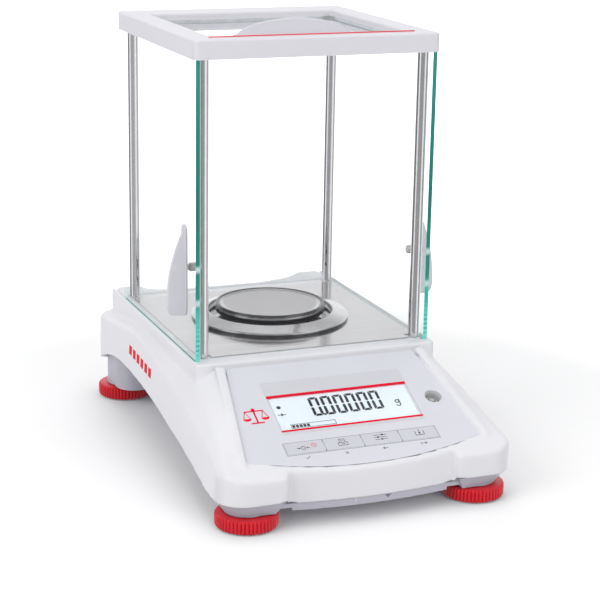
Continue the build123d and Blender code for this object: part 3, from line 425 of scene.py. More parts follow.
INK_RED = plastic("printed_ink_red", c3(236, 12, 50), 0.5, 3000, 0.02, 0.05, spec=0.15)
BAND = plastic("printed_band_grey", c3(214, 215, 220), 0.34, 3200, 0.03, 0.01, coat=0.1)

CUP = plastic("vial_cup_grey", c3(205, 205, 207), 0.4, 1500, 0.06, 0.03)
slot_of = {s["node"]: s["material_slot"] for s in frame["record"]["subparts"]}
for n, o in NODES.items():
    pass
    for i in range(max(1, len(o.material_slots))):
        if len(o.material_slots) == 0:
            o.data.materials.append(MAT[slot_of[n]])
        else:
            o.material_slots[i].link = "OBJECT"
            o.material_slots[i].material = MAT[slot_of[n]]


NODES["level_vial_cup"].material_slots[0].material = CUP


# ------------------------------------------------------------------ mesh helpers (millimetres in, metres out)
def finish_obj(name, bm, body, mats, angle=32, bevel=None, bseg=2, recalc=True):
    if recalc:
        bmesh.ops.recalc_face_normals(bm, faces=bm.faces)
    me = bpy.data.meshes.new(name)
    bm.to_mesh(me); bm.free()
    me.transform(Matrix.Scale(MM, 4))
    for p in me.polygons:
        p.use_smooth = True
    me.set_sharp_from_angle(angle=math.radians(angle))
    o = bpy.data.objects.new(name, me)
    S.collection.objects.link(o)
    for mt in (mats if isinstance(mats, (list, tuple)) else [mats]):
        me.materials.append(mt)
    if bevel:
        b = o.modifiers.new("round", "BEVEL")
        b.width = bevel * MM; b.segments = bseg; b.limit_method = "ANGLE"; b.angle_limit = math.radians(angle)
        b.harden_normals = True; b.miter_outer = "MITER_ARC"
    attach(o, body)
    return o


def fillet2d(pts, radii, seg=6):
    """Polygon with its corners rounded; radii is one number or one per corner."""
    n = len(pts); out = []
    for i, p in enumerate(pts):
        r = radii if isinstance(radii, (int, float)) else radii[i]
        a, b = Vector(pts[i - 1]), Vector(pts[(i + 1) % n])
        p = Vector(p)
        if r <= 0:
            out.append(tuple(p)); continue
        u, v = (a - p), (b - p)
        la, lb = u.length, v.length
        u.normalize(); v.normalize()
        ang = u.angle(v)
        if ang > math.pi - 1e-3:
            out.append(tuple(p)); continue
        t = min(r / math.tan(ang / 2), la * 0.49, lb * 0.49)
        rr = t * math.tan(ang / 2)
        c = p + (u + v).normalized() * (rr / math.sin(ang / 2))
        s, e = p + u * t - c, p + v * t - c
        a0, a1 = math.atan2(s.y, s.x), math.atan2(e.y, e.x)
        d = (a1 - a0 + math.pi) % (2 * math.pi) - math.pi
        for k in range(seg + 1):
            th = a0 + d * k / seg
            out.append((c.x + rr * math.cos(th), c.y + rr * math.sin(th)))
    return out


def lathe(name, prof, cx, cy, body, mats, seg=160, angle=30, wave=None):
    """Closed profile [(r, z)] turned about a vertical axis."""
    bm = bmesh.new(); rings = []
    for r, z in prof:
        if r < 1e-6:
            rings.append([bm.verts.new((cx, cy, z))])
        else:
            ring = []
            for i in range(seg):
                a = 2 * math.pi * i / seg
                rr = r + (wave(i, seg, r, z) if wave else 0.0)
                ring.append(bm.verts.new((cx + rr * math.cos(a), cy + rr * math.sin(a), z)))
            rings.append(ring)
    m = len(rings)
    for j in range(m):
        A, B = rings[j], rings[(j + 1) % m]
        if len(A) == 1 and len(B) == 1:
            continue
        for i in range(seg):
            k = (i + 1) % seg
            if len(A) == 1:
                bm.faces.new((A[0], B[k], B[i]))
            elif len(B) == 1:
                bm.faces.new((A[i], A[k], B[0]))
            else:
                bm.faces.new((A[i], A[k], B[k], B[i]))
    return finish_obj(name, bm, body, mats, angle)


def prism(name, outline, frame_fn, h0, h1, body, slot, mats, bevel=None, angle=32, holes=None, bseg=2):
    """Outline [(a, b)] given a thickness between h0 and h1; frame_fn maps (a, b, h) to mm."""
    bm = bmesh.new()
    lo = [bm.verts.new(frame_fn(a, b, h0)) for a, b in outline]
    hi = [bm.verts.new(frame_fn(a, b, h1)) for a, b in outline]
    n = len(outline)
    bm.faces.new(lo[::-1]); bm.faces.new(hi)
    for i in range(n):
        k = (i + 1) % n
        bm.faces.new((lo[i], lo[k], hi[k], hi[i]))
    return finish_obj(name, bm, body, mats, angle, bevel, bseg)


# control panel plane, in mm
PO = Vector((0, -106.5, 60.15)); PX = Vector((1, 0, 0)); PN = Vector((0, -0.41490, 0.90987)).normalized()
PV = PN.cross(PX).normalized()


def P(x, v, h):
    return tuple(PO + PX * x + PV * v + PN * h)


# ------------------------------------------------------------------ stage, light and camera
CAM_YAW, CAM_PITCH, CAM_ROLL = 21.914, 15.598, 1.006
WORLD, FLOOR_ALB, FLOOR_GAIN = 0.56, 0.66, 1.08


def studio_bands(t, direction, n=None):
    """Brightness the studio shows in a mirror, by compass angle of the mirrored ray: white walls with grey and dark screens."""
    N = lambda kind, **kw: t.nodes.new(kind)
    sp = N("ShaderNodeSeparateXYZ"); t.links.new(direction, sp.inputs[0])
    at = N("ShaderNodeMath"); at.operation = "ARCTAN2"
    t.links.new(sp.outputs[1], at.inputs[0]); t.links.new(sp.outputs[0], at.inputs[1])
    # angle measured clockwise from the direction of the camera, -180..180 -> 0..1
    cam_ang = math.atan2(-math.cos(math.radians(CAM_YAW)), -math.sin(math.radians(CAM_YAW)))
    sub = N("ShaderNodeMath"); sub.operation = "SUBTRACT"
    t.links.new(at.outputs[0], sub.inputs[0]); sub.inputs[1].default_value = cam_ang
    dv = N("ShaderNodeMath"); dv.operation = "DIVIDE"; t.links.new(sub.outputs[0], dv.inputs[0]); dv.inputs[1].default_value = 2 * math.pi
    ad = N("ShaderNodeMath"); ad.operation = "ADD"; t.links.new(dv.outputs[0], ad.inputs[0]); ad.inputs[1].default_value = 0.5
    fr = N("ShaderNodeMath"); fr.operation = "FRACT"; t.links.new(ad.outputs[0], fr.inputs[0])
    rp = N("ShaderNodeValToRGB"); rp.color_ramp.interpolation = "B_SPLINE"
    w, d, m, l, g = 1.15, 0.08, 0.30, 1.05, 0.36
    deg = [(-180, w), (-134, w), (-118, d), (-80, d), (-68, l), (-52, l), (-40, m), (28, m * 0.9), (42, l * 0.75), (52, l), (72, l), (84, g), (112, g), (128, w), (180, w)]
    el = rp.color_ramp.elements
    while len(el) < len(deg):
        el.new(1.0)
    rp.color_ramp.interpolation = "LINEAR"
    for e, (a_, v) in zip(el, deg):
        e.position = (a_ + 180) / 360; e.color = (v, v * 0.985, v * 1.02, 1)
    t.links.new(fr.outputs[0], rp.inputs[0])
    return rp.outputs[0], sp.outputs[2]


def setup_stage():
    bm = bmesh.new()
    bmesh.ops.create_grid(bm, x_segments=24, y_segments=24, size=14.0)
    me = bpy.data.meshes.new("studio_floor"); bm.to_mesh(me); bm.free()
    o = bpy.data.objects.new("studio_floor", me); S.collection.objects.link(o)
    o.location = (0, 3.0, -0.0002)
    # pale floor: soft shadows near the object, white further off, bands only where metal mirrors it
    m = NT("floor_pale")
    geo = m.n("ShaderNodeNewGeometry"); lp = m.n("ShaderNodeLightPath")
    pos = geo.outputs["Position"]
    n1 = m.noise(0.8, 2.0, vec=pos)
    sepp = m.n("ShaderNodeSeparateXYZ"); m.link(pos, sepp.inputs[0])
    rr = m.math("SQRT", m.math("ADD", m.math("POWER", sepp.outputs[0], 2.0), m.math("POWER", sepp.outputs[1], 2.0)))
    far = m.maprange(rr, 0.30, 0.75, 0.0, 1.0)
    gain = m.math("ADD", m.math("MULTIPLY", lp.outputs["Is Camera Ray"], FLOOR_GAIN - FLOOR_ALB), FLOOR_ALB)
    base = m.vmath("SCALE", m.mixc(n1, (0.985, 0.985, 0.99), (1.0, 1.0, 1.0)))
    m.link(gain, base.node.inputs["Scale"])
    df = m.n("ShaderNodeBsdfDiffuse"); m.link(base, df.inputs["Color"])
    em = m.n("ShaderNodeEmission"); em.inputs["Color"].default_value = (1, 1, 1, 1)
    m.link(m.math("MULTIPLY", far, m.math("MULTIPLY", lp.outputs["Is Camera Ray"], 1.0)), em.inputs["Strength"])
    add = m.n("ShaderNodeAddShader"); m.link(df.outputs[0], add.inputs[0]); m.link(em.outputs[0], add.inputs[1])
    neg = m.vmath("SCALE", geo.outputs["Incoming"]); neg.node.inputs["Scale"].default_value = -1.0
    band, _z = studio_bands(m.t, neg)
    eg = m.n("ShaderNodeEmission"); m.link(band, eg.inputs["Color"]); eg.inputs["Strength"].default_value = 1.0
    mx = m.n("ShaderNodeMixShader")
    m.link(m.math("MULTIPLY", lp.outputs["Is Glossy Ray"], 0.9), mx.inputs[0])
    m.link(add.outputs[0], mx.inputs[1]); m.link(eg.outputs[0], mx.inputs[2])
    me.materials.append(m.done(mx.outputs[0]))

    w = bpy.data.worlds.new("studio"); S.world = w
    w.use_nodes = True
    t = w.node_tree; t.nodes.clear()
    out = t.nodes.new("ShaderNodeOutputWorld")
    bg1 = t.nodes.new("ShaderNodeBackground"); bg1.inputs[0].default_value = (0.99, 0.99, 1, 1); bg1.inputs[1].default_value = WORLD
    bg2 = t.nodes.new("ShaderNodeBackground"); bg2.inputs[1].default_value = 1.0
    bgc = t.nodes.new("ShaderNodeBackground"); bgc.inputs[0].default_value = (1, 1, 1, 1); bgc.inputs[1].default_value = 1.0
    tc = t.nodes.new("ShaderNodeTexCoord")
    band, z = studio_bands(t, tc.outputs["Generated"])
    rp = t.nodes.new("ShaderNodeValToRGB")
    el = rp.color_ramp.elements
    stops = [(0.0, 0.8), (0.10, 0.80), (0.22, 0.86), (0.30, 0.80), (0.40, 0.34), (0.52, 0.16), (0.62, 0.14), (0.70, 0.34), (0.80, 0.75), (1.0, 0.5)]
    while len(el) < len(stops):
        el.new(1.0)
    for e, (p_, v) in zip(el, stops):
        e.position = p_; e.color = (v, v, v * 1.01, 1)
    t.links.new(z, rp.inputs[0])
    # low down the walls show their bands, higher up the soft ceiling takes over
    mr = t.nodes.new("ShaderNodeMapRange"); t.links.new(z, mr.inputs["Value"])
    mr.inputs["From Min"].default_value = 0.05; mr.inputs["From Max"].default_value = 0.5
    mr.inputs["To Min"].default_value = 0.85; mr.inputs["To Max"].default_value = 0.50
    mixn = t.nodes.new("ShaderNodeMix"); mixn.data_type = "RGBA"
    t.links.new(mr.outputs[0], mixn.inputs[0]); t.links.new(rp.outputs[0], mixn.inputs[6]); t.links.new(band, mixn.inputs[7])
    t.links.new(mixn.outputs[2], bg2.inputs[0])
    lp = t.nodes.new("ShaderNodeLightPath")
    m1 = t.nodes.new("ShaderNodeMixShader"); m2 = t.nodes.new("ShaderNodeMixShader")
    t.links.new(lp.outputs["Is Glossy Ray"], m1.inputs[0])
    t.links.new(bg1.outputs[0], m1.inputs[1]); t.links.new(bg2.outputs[0], m1.inputs[2])
    t.links.new(lp.outputs["Is Camera Ray"], m2.inputs[0])
    t.links.new(m1.outputs[0], m2.inputs[1]); t.links.new(bgc.outputs[0], m2.inputs[2])
    t.links.new(m2.outputs[0], out.inputs[0])

    def area(name, loc, target, size, power, col=(1, 1, 1), sy=None):
        l = bpy.data.lights.new(name, "AREA")
        l.shape = "RECTANGLE"; l.size = size; l.size_y = sy or size
        l.energy = power; l.color = col
        ob = bpy.data.objects.new(name, l); S.collection.objects.link(ob)
        ob.location = loc
        d = Vector(target) - Vector(loc)
        ob.rotation_mode = "QUATERNION"; ob.rotation_quaternion = d.to_track_quat("-Z", "Y")
        ob.visible_glossy = False
        return ob
    area("key_left", (-1.7, -0.6, 1.1), (0, 0, 0.1), 1.3, 14.0)
    area("top_soft", (0.1, 0.2, 2.0), (0, 0, 0.1), 1.5, 8.0)
    area("front_soft", (0.55, -2.0, 0.75), (0, 0, 0.12), 1.3, 10.5)
    area("back_soft", (0.3, 2.0, 1.0), (0, 0, 0.15), 1.6, 6.0)

    # camera at the photograph's viewing angle
    yaw, pitch, roll = math.radians(CAM_YAW), math.radians(CAM_PITCH), math.radians(CAM_ROLL)
    fwd = Vector((math.sin(yaw) * math.cos(pitch), math.cos(yaw) * math.cos(pitch), -math.sin(pitch)))
    right = Vector((math.cos(yaw), -math.sin(yaw), 0)); up = right.cross(fwd)
    r2 = right * math.cos(roll) + up * math.sin(roll)
    u2 = -right * math.sin(roll) + up * math.cos(roll)
    cam = bpy.data.cameras.new("camera"); co = bpy.data.objects.new("camera", cam); S.collection.objects.link(co)
    cam.sensor_width = 36.0; cam.lens = 1725.173 / 600 * 36
    C = Vector((-436.6, -1108.2, 438.3)) * MM
    co.matrix_world = Matrix(((r2.x, u2.x, -fwd.x, C.x), (r2.y, u2.y, -fwd.y, C.y), (r2.z, u2.z, -fwd.z, C.z), (0, 0, 0, 1)))
    cam.clip_start, cam.clip_end = 0.05, 60.0
    S.camera = co
    S.view_settings.view_transform = "Standard"
    S.view_settings.look = "None"
    S.view_settings.exposure = 0.0


setup_stage()
# ------------------------------------------------------------------ thin printed shapes
class Ink:
    """Collects thin closed solids on one mapped plane."""
    def __init__(self, fn):
        self.bm = bmesh.new(); self.fn = fn

    def poly(self, pts, h0, h1):
        lo = [self.bm.verts.new(self.fn(a, b, h0)) for a, b in pts]
        hi = [self.bm.verts.new(self.fn(a, b, h1)) for a, b in pts]
        self.bm.faces.new(lo[::-1]); self.bm.faces.new(hi)
        for i in range(len(pts)):
            k = (i + 1) % len(pts)
            self.bm.faces.new((lo[i], lo[k], hi[k], hi[i]))

    def rect(self, x0, y0, x1, y1, h0, h1, r=0.0):
        p = [(x0, y0), (x1, y0), (x1, y1), (x0, y1)]
        self.poly(fillet2d(p, r, 4) if r else p, h0, h1)

    def disc(self, x, y, r, h0, h1, n=28):
        self.poly([(x + r * math.cos(2 * math.pi * i / n), y + r * math.sin(2 * math.pi * i / n)) for i in range(n)], h0, h1)

    def arc(self, x, y, r0, r1, h0, h1, a0=0.0, a1=360.0, n=36):
        full = abs(a1 - a0) >= 359.9
        m = n if full else n + 1
        A = [math.radians(a0 + (a1 - a0) * i / n) for i in range(m)]
        q = [[self.bm.verts.new(self.fn(x + r * math.cos(a), y + r * math.sin(a), h)) for a in A]
             for r, h in ((r0, h0), (r1, h0), (r1, h1), (r0, h1))]
        for j in range(4):
            U, V = q[j], q[(j + 1) % 4]
            for i in range(m if full else m - 1):
                k = (i + 1) % m
                self.bm.faces.new((U[i], U[k], V[k], V[i]))
        if not full:
            self.bm.faces.new([q[j][0] for j in range(4)])
            self.bm.faces.new([q[j][-1] for j in (3, 2, 1, 0)])

    def stroke(self, x0, y0, x1, y1, w, h0, h1):
        a = math.atan2(y1 - y0, x1 - x0); r = w / 2
        pts = [(x1 + r * math.cos(a - math.pi / 2 + math.pi * i / 6), y1 + r * math.sin(a - math.pi / 2 + math.pi * i / 6)) for i in range(7)]
        pts += [(x0 + r * math.cos(a + math.pi / 2 + math.pi * i / 6), y0 + r * math.sin(a + math.pi / 2 + math.pi * i / 6)) for i in range(7)]
        self.poly(pts, h0, h1)

    def seg7(self, x, y, w, hgt, t, on, h0, h1, slant=0.06):
        sh = lambda p: (x + p[0] + slant * p[1], y + p[1])
        g = 0.16 * t
        m = hgt / 2
        S7 = {
            "a": [(0.45 * t, hgt), (0.75 * t, hgt), (w - 0.75 * t, hgt), (w - 0.45 * t, hgt), (w - 1.12 * t, hgt - t), (1.12 * t, hgt - t)],
            "d": [(0.45 * t, 0), (1.12 * t, t), (w - 1.12 * t, t), (w - 0.45 * t, 0)],
            "f": [(0, hgt - 0.6 * t), (0.25 * t, hgt - 0.2 * t), (t, hgt - 1.05 * t), (t, m + 0.55 * t), (0.5 * t, m + g), (0, m + g + 0.3 * t)],
            "e": [(0, 0.6 * t), (0, m - g - 0.3 * t), (0.5 * t, m - g), (t, m - 0.55 * t), (t, 1.05 * t), (0.25 * t, 0.2 * t)],
            "g": [(0.7 * t, m), (1.2 * t, m + 0.5 * t), (w - 1.2 * t, m + 0.5 * t), (w - 0.7 * t, m), (w - 1.2 * t, m - 0.5 * t), (1.2 * t, m - 0.5 * t)],
        }
        S7["b"] = [(w - a, b) for a, b in S7["f"]][::-1]
        S7["c"] = [(w - a, b) for a, b in S7["e"]][::-1]
        for k in on:
            self.poly([sh(p) for p in S7[k]], h0, h1)

    def done(self, name, body, slot, mat, angle=30):
        return finish_obj(name, self.bm, body, mat, angle)


def add_prism(bm, outline, fn, h0, h1):
    lo = [bm.verts.new(fn(a, b, h0)) for a, b in outline]
    hi = [bm.verts.new(fn(a, b, h1)) for a, b in outline]
    bm.faces.new(lo[::-1]); bm.faces.new(hi)
    for i in range(len(outline)):
        k = (i + 1) % len(outline)
        bm.faces.new((lo[i], lo[k], hi[k], hi[i]))


def add_sections(bm, secs):
    """Rings of equal length joined one to the next, both ends capped."""
    R = [[bm.verts.new(p) for p in s] for s in secs]
    n = len(R[0])
    for A, B in zip(R, R[1:]):
        for i in range(n):
            k = (i + 1) % n
            bm.faces.new((A[i], A[k], B[k], B[i]))
    bm.faces.new(R[0][::-1]); bm.faces.new(R[-1])


def circle(x, y, r, n=32):
    return [(x + r * math.cos(2 * math.pi * i / n), y + r * math.sin(2 * math.pi * i / n)) for i in range(n)]


def slot_outline(cx, cy, length, width, vertical=True, n=14):
    r = width / 2; half = length / 2 - r; pts = []
    for i in range(n + 1):
        a = math.pi * i / n
        pts.append((cx + r * math.cos(a), cy + half + r * math.sin(a)))
    for i in range(n + 1):
        a = math.pi + math.pi * i / n
        pts.append((cx + r * math.cos(a), cy - half + r * math.sin(a)))
    return pts if vertical else [(cx + (b - cy), cy + (a - cx)) for a, b in pts][::-1]


def lathe_fn(name, prof, fn, body, mats, seg=72, angle=30):
    """Closed profile [(r, h)] from axis to axis, turned about the h axis of a mapped frame."""
    bm = bmesh.new(); rings = []
    for r, h in prof:
        rings.append([bm.verts.new(fn(0, 0, h))] if r < 1e-6 else
                     [bm.verts.new(fn(r * math.cos(2 * math.pi * i / seg), r * math.sin(2 * math.pi * i / seg), h)) for i in range(seg)])
    for A, B in zip(rings, rings[1:]):
        for i in range(seg):
            k = (i + 1) % seg
            if len(A) == 1:
                bm.faces.new((A[0], B[i], B[k]))
            elif len(B) == 1:
                bm.faces.new((A[i], B[0], A[k]))
            else:
                bm.faces.new((A[i], B[i], B[k], A[k]))
    return finish_obj(name, bm, body, mats, angle)


def body_of(node):
    return next(b for b, nodes in frame["record"]["behaviour"]["bodies"].items() if node in nodes)


# ------------------------------------------------------------------ moulded shells, softened from the CAD solids
import numpy as np


def mesh_arrays(me):
    co = np.empty(len(me.vertices) * 3); me.vertices.foreach_get("co", co); co = co.reshape(-1, 3)
    ed = np.empty(len(me.edges) * 2, dtype=np.int64); me.edges.foreach_get("vertices", ed); ed = ed.reshape(-1, 2)
    return co, ed


def relax(co, ed, w, lam, n):
    deg = np.bincount(ed.ravel(), minlength=len(co)).astype(float)[:, None]
    for _ in range(n):
        acc = np.zeros_like(co)
        for a in range(3):
            acc[:, a] = np.bincount(ed[:, 0], co[ed[:, 1], a], len(co)) + np.bincount(ed[:, 1], co[ed[:, 0], a], len(co))
        co = co + lam * w[:, None] * (acc / deg - co)
    return co


def moulded(node, newname, voxel, mat, pick=None, reach=5.0, passes=30, keep=0.3, base_passes=2):
    """Voxel copy of a CAD solid with slightly soft edges everywhere and larger radii near the picked edges."""
    src = NODES[node]
    bm = bmesh.new(); bm.from_mesh(src.data)
    bmesh.ops.remove_doubles(bm, verts=bm.verts, dist=1e-6)
    bmesh.ops.dissolve_limit(bm, angle_limit=math.radians(1.0), verts=bm.verts, edges=bm.edges)
    samples = []
    if pick:
        for e in bm.edges:
            if len(e.link_faces) != 2:
                continue
            ang = math.degrees(e.calc_face_angle())
            if ang < 14:
                continue
            a, b = e.verts[0].co / MM, e.verts[1].co / MM
            wgt = pick(a, b, e.link_faces[0].normal, e.link_faces[1].normal, ang, e.is_convex)
            if wgt > 0:
                n = max(1, int((b - a).length / 0.8))
                for i in range(n + 1):
                    samples.append((*(a.lerp(b, i / n)), wgt))
    bm.free()
    d = bpy.data.objects.new(newname + "_tmp", src.data.copy()); S.collection.objects.link(d)
    r = d.modifiers.new("r", "REMESH"); r.mode = "VOXEL"; r.voxel_size = voxel * MM; r.adaptivity = 0.0
    me = bpy.data.meshes.new_from_object(d.evaluated_get(bpy.context.evaluated_depsgraph_get()))
    bpy.data.objects.remove(d)
    co, ed = mesh_arrays(me)
    lo, hi = co.min(0), co.max(0)
    one = np.ones(len(co))
    for _ in range(base_passes):
        co = relax(co, ed, one, 0.5, 1); co = relax(co, ed, one, -0.52, 1)
    co = relax(co, ed, one, 0.4, 1)
    if samples:
        from mathutils.kdtree import KDTree
        kd = KDTree(len(samples))
        for i, s in enumerate(samples):
            kd.insert(Vector(s[:3]) * MM, i)
        kd.balance()
        w = np.zeros(len(co))
        amin = np.array(samples)[:, :3].min(0) * MM - reach * MM
        amax = np.array(samples)[:, :3].max(0) * MM + reach * MM
        inside = np.where(((co > amin) & (co < amax)).all(1))[0]
        for i in inside:
            _, j, dist = kd.find(co[i])
            x = dist / MM
            if x < reach:
                w[i] = samples[j][3] * (1.0 if x < reach * 0.55 else (1 - (x - reach * 0.55) / (reach * 0.45)))
        co = relax(co, ed, w, 0.5, passes)
    co = np.minimum(np.maximum(co, lo), hi)
    me.vertices.foreach_set("co", co.ravel()); me.update()
    me.materials.clear(); me.materials.append(mat)
    o = bpy.data.objects.new(newname, me); S.collection.objects.link(o)
    if keep < 1:
        dm = o.modifiers.new("thin", "DECIMATE"); dm.ratio = keep
        me2 = bpy.data.meshes.new_from_object(o.evaluated_get(bpy.context.evaluated_depsgraph_get()))
        o.modifiers.clear(); o.data = me2
        me = me2
    for p in me.polygons:
        p.use_smooth = True
    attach(o, body_of(node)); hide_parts(node)
    return o


def shell_edges(a, b, n1, n2, ang, convex):
    """Outer top edges and corner steps of the top housing, heavier at the front blocks."""
    m = (a + b) / 2
    zt, zl = max(n1.z, n2.z), min(abs(n1.z), abs(n2.z))
    if m.z < 27 or m.z > 78:
        return 0
    outer = abs(m.x) > 84 or m.y < -149.0
    if not outer or abs(m.x) < 84 and m.y > -149.0:
        return 0
    if n1.z < -0.6 or n2.z < -0.6:
        return 0
    if m.y < -58:
        if convex and zt > 0.5 and ang > 14:
            return 1.0
        if abs(n1.z) < 0.3 and abs(n2.z) < 0.3 and m.y < -148:
            return 0.9
        return 0
    return 0.8 if convex and abs(m.x) > 92 else 0


T_HOUSE = moulded("top_housing", "housing_shell", 0.8, MAT["white_plastic"], shell_edges, reach=5.2, passes=26, keep=0.34)


# ------------------------------------------------------------------ glass panes
def pane(name, node, body, lo, hi, thin):
    bm = bmesh.new()
    vs = [bm.verts.new((x, y, z)) for x in (lo[0], hi[0]) for y in (lo[1], hi[1]) for z in (lo[2], hi[2])]
    for f in ((0, 1, 3, 2), (4, 6, 7, 5), (0, 4, 5, 1), (2, 3, 7, 6), (0, 2, 6, 4), (1, 5, 7, 3)):
        bm.faces.new([vs[i] for i in f])
    bmesh.ops.recalc_face_normals(bm, faces=bm.faces)
    bmesh.ops.bevel(bm, geom=bm.edges[:], offset=0.3, segments=2, profile=0.5, affect="EDGES")
    bm.normal_update()
    for f in bm.faces:
        c = f.calc_center_median()
        front = f.normal.y < -0.3 and thin == 0 and c.z < hi[2] - 1 and c.z > lo[2] + 1
        f.material_index = 0 if abs(f.normal[thin]) > 0.98 else (1 if front else (3 if thin == 0 and f.normal.z < -0.5 else 2))
    faint = EDGE_FAINT if thin == 2 else EDGE_PALE
    o = finish_obj(name, bm, body, [MAT["clear_glass"], EDGE, faint, EDGE_LOW], angle=25)
    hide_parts(node)
    return o


for _n, _node, _b, _t in (("front_pane", "front_glass", "base", 1), ("rear_pane", "rear_glass", "base", 1), ("left_door_pane", "left_door_glass", "left_door", 0),
                          ("right_door_pane", "right_door_glass", "right_door", 0), ("top_door_pane", "top_door_glass", "top_door", 2)):
    _lo, _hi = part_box(_node)
    pane(_n, _node, _b, [v / MM for v in _lo], [v / MM for v in _hi], _t)


# ------------------------------------------------------------------ handles
def spline_at(pts, z):
    """Piecewise smooth value through (z, value) pairs."""
    for (z0, v0), (z1, v1) in zip(pts, pts[1:]):
        if z0 <= z <= z1:
            i = pts.index((z0, v0))
            m0 = (v1 - pts[i - 1][1]) / (z1 - pts[i - 1][0]) if i > 0 else (v1 - v0) / (z1 - z0)
            j = i + 1
            m1 = (pts[j + 1][1] - v0) / (pts[j + 1][0] - z0) if j + 1 < len(pts) else (v1 - v0) / (z1 - z0)
            h = z1 - z0; t = (z - z0) / h
            return ((2 * t ** 3 - 3 * t ** 2 + 1) * v0 + (t ** 3 - 2 * t ** 2 + t) * h * m0 +
                    (-2 * t ** 3 + 3 * t ** 2) * v1 + (t ** 3 - t ** 2) * h * m1)
    return pts[-1][1] if z > pts[-1][0] else pts[0][1]


def fin_section(H, root, tip, n=8):
    """Half-open fin outline (depth, half width): flared foot, slim blade, round nose."""
    H = max(H, 0.35)
    rn = min(tip, H * 0.48)
    sc = min(1.0, H / 5.0)
    R = rn + (root - rn) * sc
    pts = []
    for k in range(7):
        t = k / 6.0
        d = t * (H - rn)
        w = rn + (R - rn) * ((1 - t) ** 1.6) + 0.0
        pts.append((d, w))
    for k in range(1, n + 1):
        a = math.pi / 2 * k / n
        pts.append((H - rn + rn * math.sin(a), max(rn * math.cos(a), 0.04)))
    return pts


def side_handle(s, side):
    bm = bmesh.new()
    YC, ZB, ZT, BZ = -28.5, 110.7, 173.9, 143.8
    out = [(ZB, 8.0), (ZB + 0.15, 9.6), (ZB + 0.8, 11.1), (ZB + 1.8, 12.2), (ZB + 3.5, 13.0), (ZB + 6.0, 13.45), (ZB + 9.8, 13.55), (ZB + 16, 13.1),
           (ZB + 24, 12.5), (ZB + 33, 11.0), (ZB + 43.3, 8.2), (ZB + 52, 5.1), (ZB + 58.5, 2.2), (ZT, 0.35)]
    zs = sorted(set([z for z, _ in out[:6]] + [ZB + 6 + i * 2.2 for i in range(26)] + [ZT]))
    secs = []
    for z in zs:
        H = spline_at(out, z)
        half = fin_section(H, 3.4, 1.35)
        ring = [(s * (86.55 + d), YC + w, z) for d, w in half] + [(s * (86.55 + d), YC - w, z) for d, w in half[::-1]]
        secs.append(ring)
    add_sections(bm, secs)
    # foot on the glass and the bolt through it
    yz = lambda a, b, h: (s * h, a, b)
    add_prism(bm, slot_outline(YC, (ZB + ZT) / 2, ZT - ZB, 11), yz, 86.55, 87.85)
    add_prism(bm, circle(YC, BZ, 2.0), yz, 79.6, 87.6)
    o = finish_obj(side + "_door_grip", bm, side + "_door", MAT["handle_plastic"], angle=40, bevel=0.35)
    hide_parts(side + "_door_handle")
    prof = [(0, 83.45), (3.1, 83.45), (3.1, 79.9), (2.95, 79.4), (2.55, 79.08), (2.1, 79.0), (1.0, 79.0), (0.8, 79.3), (0, 79.35)]
    k = lathe_fn(side + "_door_clamp_knob", prof, lambda x, y, h: (s * h, YC + x, BZ + y), side + "_door", KNOB)
    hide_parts(side + "_door_knob")


side_handle(-1, "left"); side_handle(1, "right")

_bm = bmesh.new()
_SAG = 8.2
_R = (42 ** 2 + _SAG ** 2) / (2 * _SAG)
_secs = []
for i in range(61):
    x = -42 + 84 * i / 60
    H = math.sqrt(max(_R * _R - x * x, 0)) - (_R - _SAG) + 2.6 * (1 - (abs(x) / 42.0) ** 14)
    half = fin_section(H, 2.2, 1.0)
    _secs.append([(x, -3 + w, 296.3 + d) for d, w in half] + [(x, -3 - w, 296.3 + d) for d, w in half[::-1]])
add_sections(_bm, _secs)
add_prism(_bm, slot_outline(0, -3, 88, 9, vertical=False), lambda a, b, h: (a, b, h), 295.22, 296.42)
_o = finish_obj("top_door_grip", _bm, "top_door", MAT["handle_plastic"], angle=40, bevel=0.3)
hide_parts("top_door_handle")


_bm = bmesh.new()
add_prism(_bm, fillet2d([(-74, -40.2), (74, -40.2), (74, -38.9), (-74, -38.9)], 0.4, 4), lambda a, b, h: (a, b, h), 299.25, 300.62)
_o = finish_obj("accent_bead", _bm, "base", MAT["red_trim"], angle=40, bevel=0.22)
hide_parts("accent_strip")


# ------------------------------------------------------------------ pan and anti-draft ring
def round_profile(pts, radii, seg=5):
    return fillet2d(pts, radii, seg)


_pan = [(0, 94.0), (34.2, 94.0), (35.6, 94.3), (38.6, 95.2), (40.0, 95.0), (40.0, 89.1), (39.2, 88.9), (39.2, 94.0), (35.4, 93.3),
        (8.2, 93.2), (8.2, 88.4), (6.1, 88.4), (5.75, 92.2), (0, 92.2)]
_pr = [0, 1.2, 1.5, 1.2, 0.7, 0.35, 0.25, 0.6, 1.0, 0.5, 0.3, 0.3, 0.3, 0]
_o = lathe("pan_dish", round_profile(_pan, _pr), 0, 36.5, "pan", MAT["pan_steel"], seg=220, angle=55)
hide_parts("weighing_pan")
_ring = [(57.8, 84.34), (57.8, 86.7), (56.9, 87.3), (46.8, 90.1), (45.5, 90.1), (45.5, 85.0), (46.2, 85.0), (46.2, 89.3), (56.9, 86.3), (56.9, 84.34)]
_rr = [0.25, 0.7, 0.9, 0.7, 0.7, 0.2, 0.2, 0.5, 0.5, 0.2]
_o = lathe("ring_band", round_profile(_ring, _rr), 0, 36.5, "draft_ring", MAT["ring_steel"], seg=240, angle=55)
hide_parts("anti_draft_ring")


# ------------------------------------------------------------------ levelling feet
def rib(i, seg, r, z):
    if r < 19.4:
        return 0.0
    t = (i % 8) / 8.0
    prof = [0.0, -0.18, -0.8, -1.0, -0.8, -0.18, 0.0, 0.0][i % 8]
    return prof * min(1.0, (r - 19.4) / 1.2)


